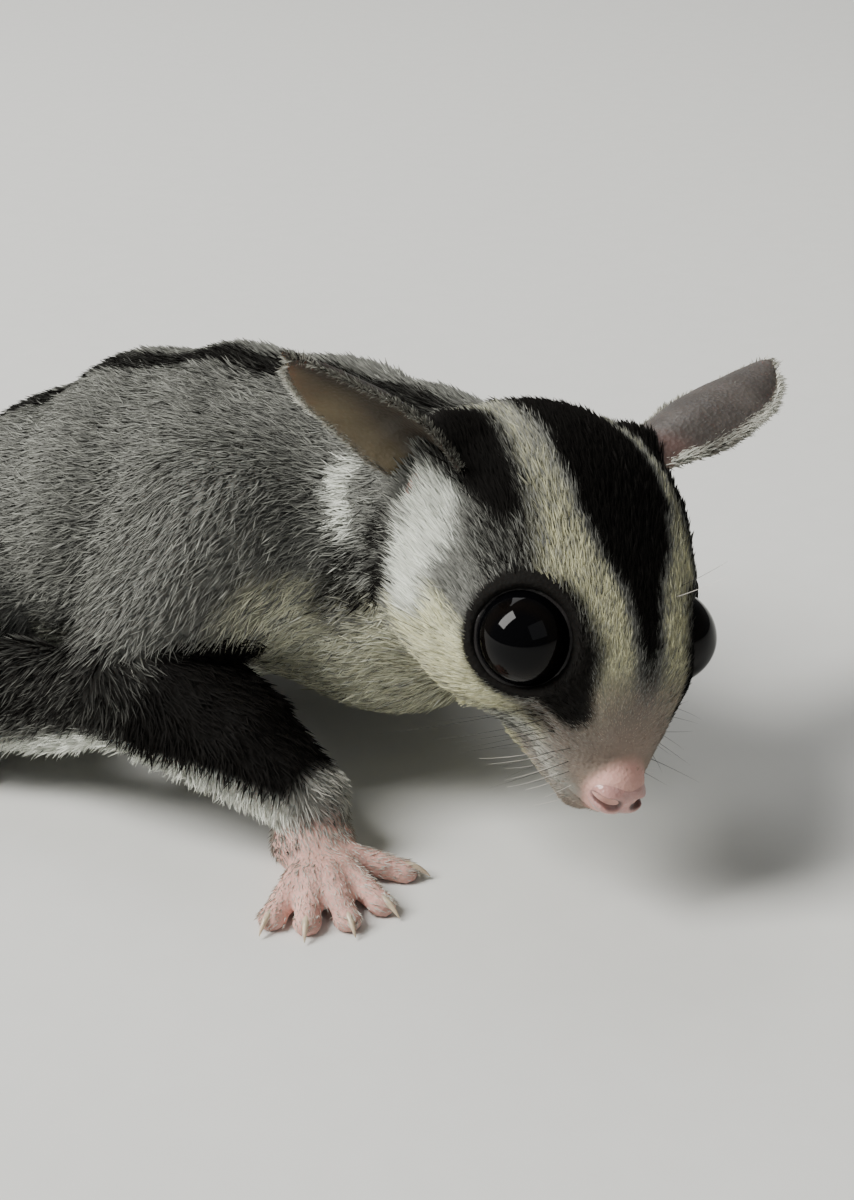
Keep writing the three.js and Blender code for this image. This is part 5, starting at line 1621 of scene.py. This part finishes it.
class GLIDER_OT_claws(bpy.types.Operator):
    """Builds the claws of all four feet"""
    bl_idname = "glider.claws"
    bl_label = "Claws"

    def execute(self, context):
        points, faces, along = claw_set()
        obj = mesh_object("claws", points, faces, [claw_material()])
        set_numbers(obj, "along", along)
        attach(obj, "root")
        return {"FINISHED"}


class GLIDER_OT_whiskers(bpy.types.Operator):
    """Builds the dark and the pale whiskers"""
    bl_idname = "glider.whiskers"
    bl_label = "Whiskers"

    def execute(self, context):
        scale = context.scene.glider_coat.whisker_scale
        for tone in ("dark", "pale"):
            points, faces, along = whisker_set(tone == "dark", scale)
            obj = mesh_object(f"whiskers_{tone}", points, faces, [whisker_material(f"whisker_{tone}")])
            set_numbers(obj, "along", along)
            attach(obj, "root")
        return {"FINISHED"}


# How each kind of tuft looks, with lengths in millimetres
LOOKS = {
    "head": {"width": 0.14, "full": 2.0, "bends": 1, "clump": 0.16, "every": 8, "stray": 0.17,
             "swirl": 0.12, "swirl_size": 5.0, "ragged": 0.35, "ticked": 0.3, "lock_size": 1.1,
             "material": "fur_short"},
    "body": {"width": 0.13, "full": 2.5, "bends": 1, "clump": 0.14, "every": 10, "stray": 0.4,
             "swirl": 0.2, "swirl_size": 5.0, "ragged": 0.5, "ticked": 0.3, "lock_size": 1.4,
             "material": "fur_body"},
    "limb": {"width": 0.135, "full": 2.4, "bends": 1, "clump": 0.16, "every": 10, "stray": 0.3,
             "swirl": 0.18, "swirl_size": 5.0, "ragged": 0.4, "ticked": 0.28, "lock_size": 1.3,
             "material": "fur_body"},
    "tail": {"width": 0.32, "full": 13.0, "bends": 2, "clump": 0.45, "every": 16, "stray": 0.2,
             "swirl": 0.24, "swirl_size": 12.0, "ragged": 0.5, "ticked": 0.25, "lock_size": 4.0,
             "material": "fur_tail"},
    "ear": {"width": 0.09, "full": 0.9, "bends": 1, "clump": 0.1, "every": 8, "stray": 0.3,
            "swirl": 0.1, "swirl_size": 4.0, "ragged": 0.2, "ticked": 0.5, "lock_size": 1.5,
            "material": "fur_ear"},
}


def grow(region, count, look, seed, split):
    """Sows a region with tufts and parts them into named pieces by where their roots are."""
    skin, growing = the_skin()
    rng = np.random.default_rng(seed)
    density = region(skin) * growing
    face, shares = sample_roots(skin, density, count, rng)
    roots = at_roots(skin, skin.points, face, shares)
    names = split(roots)
    spot = look if look in ("head", "tail") else "body"
    for name in sorted(set(names)):
        own = names == name
        tuft_piece(name, skin, face[own], shares[own], LOOKS[look], spot, rng)


def head_split(roots):
    h = in_head(roots)
    names = np.where(h[:, 1] < 0, "coat_face_right", "coat_face_left").astype(object)
    names[(h[:, 2] > 5.0) & (h[:, 1] < 0)] = "coat_crown_right"
    names[(h[:, 2] > 5.0) & (h[:, 1] >= 0)] = "coat_crown_left"
    return names


def body_split(roots):
    right, front = roots[:, 1] < BODY_MIDDLE, roots[:, 0] > -46
    names = np.where(right, "coat_flank_right", "coat_flank_left").astype(object)
    names[right & front] = "coat_shoulder_right"
    names[~right & front] = "coat_shoulder_left"
    names[roots[:, 2] > 34] = "coat_back"
    return names


def limb_split(roots):
    return np.where(roots[:, 1] < BODY_MIDDLE, "coat_limbs_right", "coat_limbs_left").astype(object)


def tail_split(roots):
    names = np.where(roots[:, 0] > -160, "coat_tail_root", "coat_tail_tip").astype(object)
    names[np.abs(roots[:, 0] + 184) < 24] = "coat_tail_middle"
    return names


class GLIDER_OT_coat_head(bpy.types.Operator):
    """Grows the short coat of the head"""
    bl_idname = "glider.coat_head"
    bl_label = "Coat of the head"

    def execute(self, context):
        def region(skin):
            x = in_head(skin.points)[:, 0]
            return skin.shares["head"] * mix(1.0, 1.7, smooth(2, 13, x))
        grow(region, context.scene.glider_coat.head_tufts, "head", 21, head_split)
        return {"FINISHED"}


class GLIDER_OT_coat_body(bpy.types.Operator):
    """Grows the coat of neck, back, flanks and belly"""
    bl_idname = "glider.coat_body"
    bl_label = "Coat of the body"

    def execute(self, context):
        def region(skin):
            return skin.shares["trunk"] * mix(1.0, 0.6, smooth(0.3, 0.9, -skin.normals[:, 2]))
        grow(region, context.scene.glider_coat.body_tufts, "body", 22, body_split)
        return {"FINISHED"}


class GLIDER_OT_coat_limbs(bpy.types.Operator):
    """Grows the coat of legs, gliding folds and feet"""
    bl_idname = "glider.coat_limbs"
    bl_label = "Coat of the limbs"

    def execute(self, context):
        def region(skin):
            return skin.shares["legs"] + skin.shares["folds"] * 1.2 + skin.shares["paws"] * 3.0
        grow(region, context.scene.glider_coat.limb_tufts, "limb", 23, limb_split)
        return {"FINISHED"}


class GLIDER_OT_coat_tail(bpy.types.Operator):
    """Grows the long coat of the tail"""
    bl_idname = "glider.coat_tail"
    bl_label = "Coat of the tail"

    def execute(self, context):
        grow(lambda skin: skin.shares["tail"], context.scene.glider_coat.tail_tufts, "tail", 24, tail_split)
        return {"FINISHED"}


def area_light(name, at, target, power, size, colour=(1, 1, 1)):
    light = bpy.data.lights.new(name, "AREA")
    light.shape = "RECTANGLE"
    light.energy, light.size, light.size_y, light.color = power, size[0], size[1], colour
    obj = bpy.data.objects.new(name, light)
    obj.location = Vector(at)
    obj.rotation_mode = "QUATERNION"
    obj.rotation_quaternion = (Vector(target) - Vector(at)).to_track_quat("-Z", "Y")
    bpy.context.scene.collection.objects.link(obj)


# The camera as fitted to the photo: where it stands in the frame, and its right, up and rear directions
CAMERA_AT = vec(0.19715, -0.17195, 0.10751)
CAMERA_RIGHT = unit(vec(0.9144, 0.402, -0.0474))
CAMERA_BACK = unit(vec(0.383, -0.8214, 0.4226))
CAMERA_UP = np.cross(CAMERA_BACK, CAMERA_RIGHT)
PHOTO_FOCAL, PHOTO_LONG_SIDE = 2000, 1200


class GLIDER_OT_stage(bpy.types.Operator):
    """Sets the floor, the soft lights and the camera at the photo's view"""
    bl_idname = "glider.stage"
    bl_label = "Floor, lights and camera"

    def execute(self, context):
        studio = context.scene.glider_studio
        floor = mesh_object("floor", vec(-6, -6, 0) + np.array([(0, 0, 0), (12, 0, 0), (12, 12, 0), (0, 12, 0)]),
                            [(0, 1, 2, 3)], [self.floor_material(studio)], False, False)
        world = bpy.data.worlds.new("studio")
        world.use_nodes = True
        sky = world.node_tree.nodes["Background"]
        sky.inputs["Color"].default_value = rgba(studio.floor, 1.2)
        sky.inputs["Strength"].default_value = studio.sky
        context.scene.world = world
        target = to_frame(on_head(vec(4, -2, 0))[None])[0]
        up, left = vec(0, 0, 1), -CAMERA_RIGHT
        area_light("key", target + (left * 0.7 + CAMERA_BACK * 0.42 + CAMERA_UP * 0.6) * 1.5, target, studio.key,
                   (0.55, 1.0), (1.0, 0.99, 0.95))
        area_light("fill", target + (CAMERA_BACK * 0.85 - left * 0.5 + up * 0.3) * 1.6, target, studio.fill,
                   (1.2, 1.2), (0.95, 0.97, 1.0))
        area_light("rim", target + (left * 0.3 - CAMERA_BACK * 0.75 + up * 1.1) * 1.5, target, studio.rim,
                   (0.9, 0.9))
        view = bpy.data.cameras.new("camera")
        view.sensor_width = 36
        view.lens = 36 * PHOTO_FOCAL / PHOTO_LONG_SIDE
        view.clip_start, view.clip_end = 0.01, 50
        camera = bpy.data.objects.new("camera", view)
        turn = np.stack([CAMERA_RIGHT, CAMERA_UP, CAMERA_BACK], 1)
        camera.matrix_world = Matrix.Translation(CAMERA_AT) @ Matrix(turn.tolist()).to_4x4()
        context.scene.collection.objects.link(camera)
        context.scene.camera = camera
        return {"FINISHED"}

    @staticmethod
    def floor_material(studio):
        def build(tree, shader):
            grain = add_node(tree, "ShaderNodeTexNoise", {
                "Vector": add_node(tree, "ShaderNodeTexCoord").outputs["Object"], "Scale": 220.0, "Detail": 4.0})
            tree.links.new(mixed(tree, grain.outputs["Fac"], rgba(studio.floor, 0.97), rgba(studio.floor, 1.03)),
                           shader.inputs["Base Color"])
        return material("floor_paper", build, Roughness=0.75, Specular_IOR_Level=0.25)


class GLIDER_PT_panel(bpy.types.Panel):
    bl_label = "Sugar glider"
    bl_idname = "GLIDER_PT_panel"
    bl_space_type = "VIEW_3D"
    bl_region_type = "UI"
    bl_category = "Glider"

    def draw(self, context):
        for group in (context.scene.glider_coat, context.scene.glider_studio):
            box = self.layout.box()
            for key in group.__annotations__:
                box.prop(group, key)
        for operator in OPERATORS:
            self.layout.operator(operator.bl_idname)


OPERATORS = (
    GLIDER_OT_skin, GLIDER_OT_eyes, GLIDER_OT_nose, GLIDER_OT_ears, GLIDER_OT_claws, GLIDER_OT_whiskers,
    GLIDER_OT_coat_head, GLIDER_OT_coat_body, GLIDER_OT_coat_limbs, GLIDER_OT_coat_tail, GLIDER_OT_stage,
)
CLASSES = (GliderCoat, GliderStudio, *OPERATORS, GLIDER_PT_panel)


def register():
    for one in CLASSES:
        bpy.utils.register_class(one)
    bpy.types.Scene.glider_coat = PointerProperty(type=GliderCoat)
    bpy.types.Scene.glider_studio = PointerProperty(type=GliderStudio)


def unregister():
    del bpy.types.Scene.glider_coat
    del bpy.types.Scene.glider_studio
    for one in reversed(CLASSES):
        bpy.utils.unregister_class(one)


def main():
    register()
    for operator in OPERATORS:
        group, name = operator.bl_idname.split(".")
        getattr(getattr(bpy.ops, group), name)()


if __name__ == "__main__":
    main()
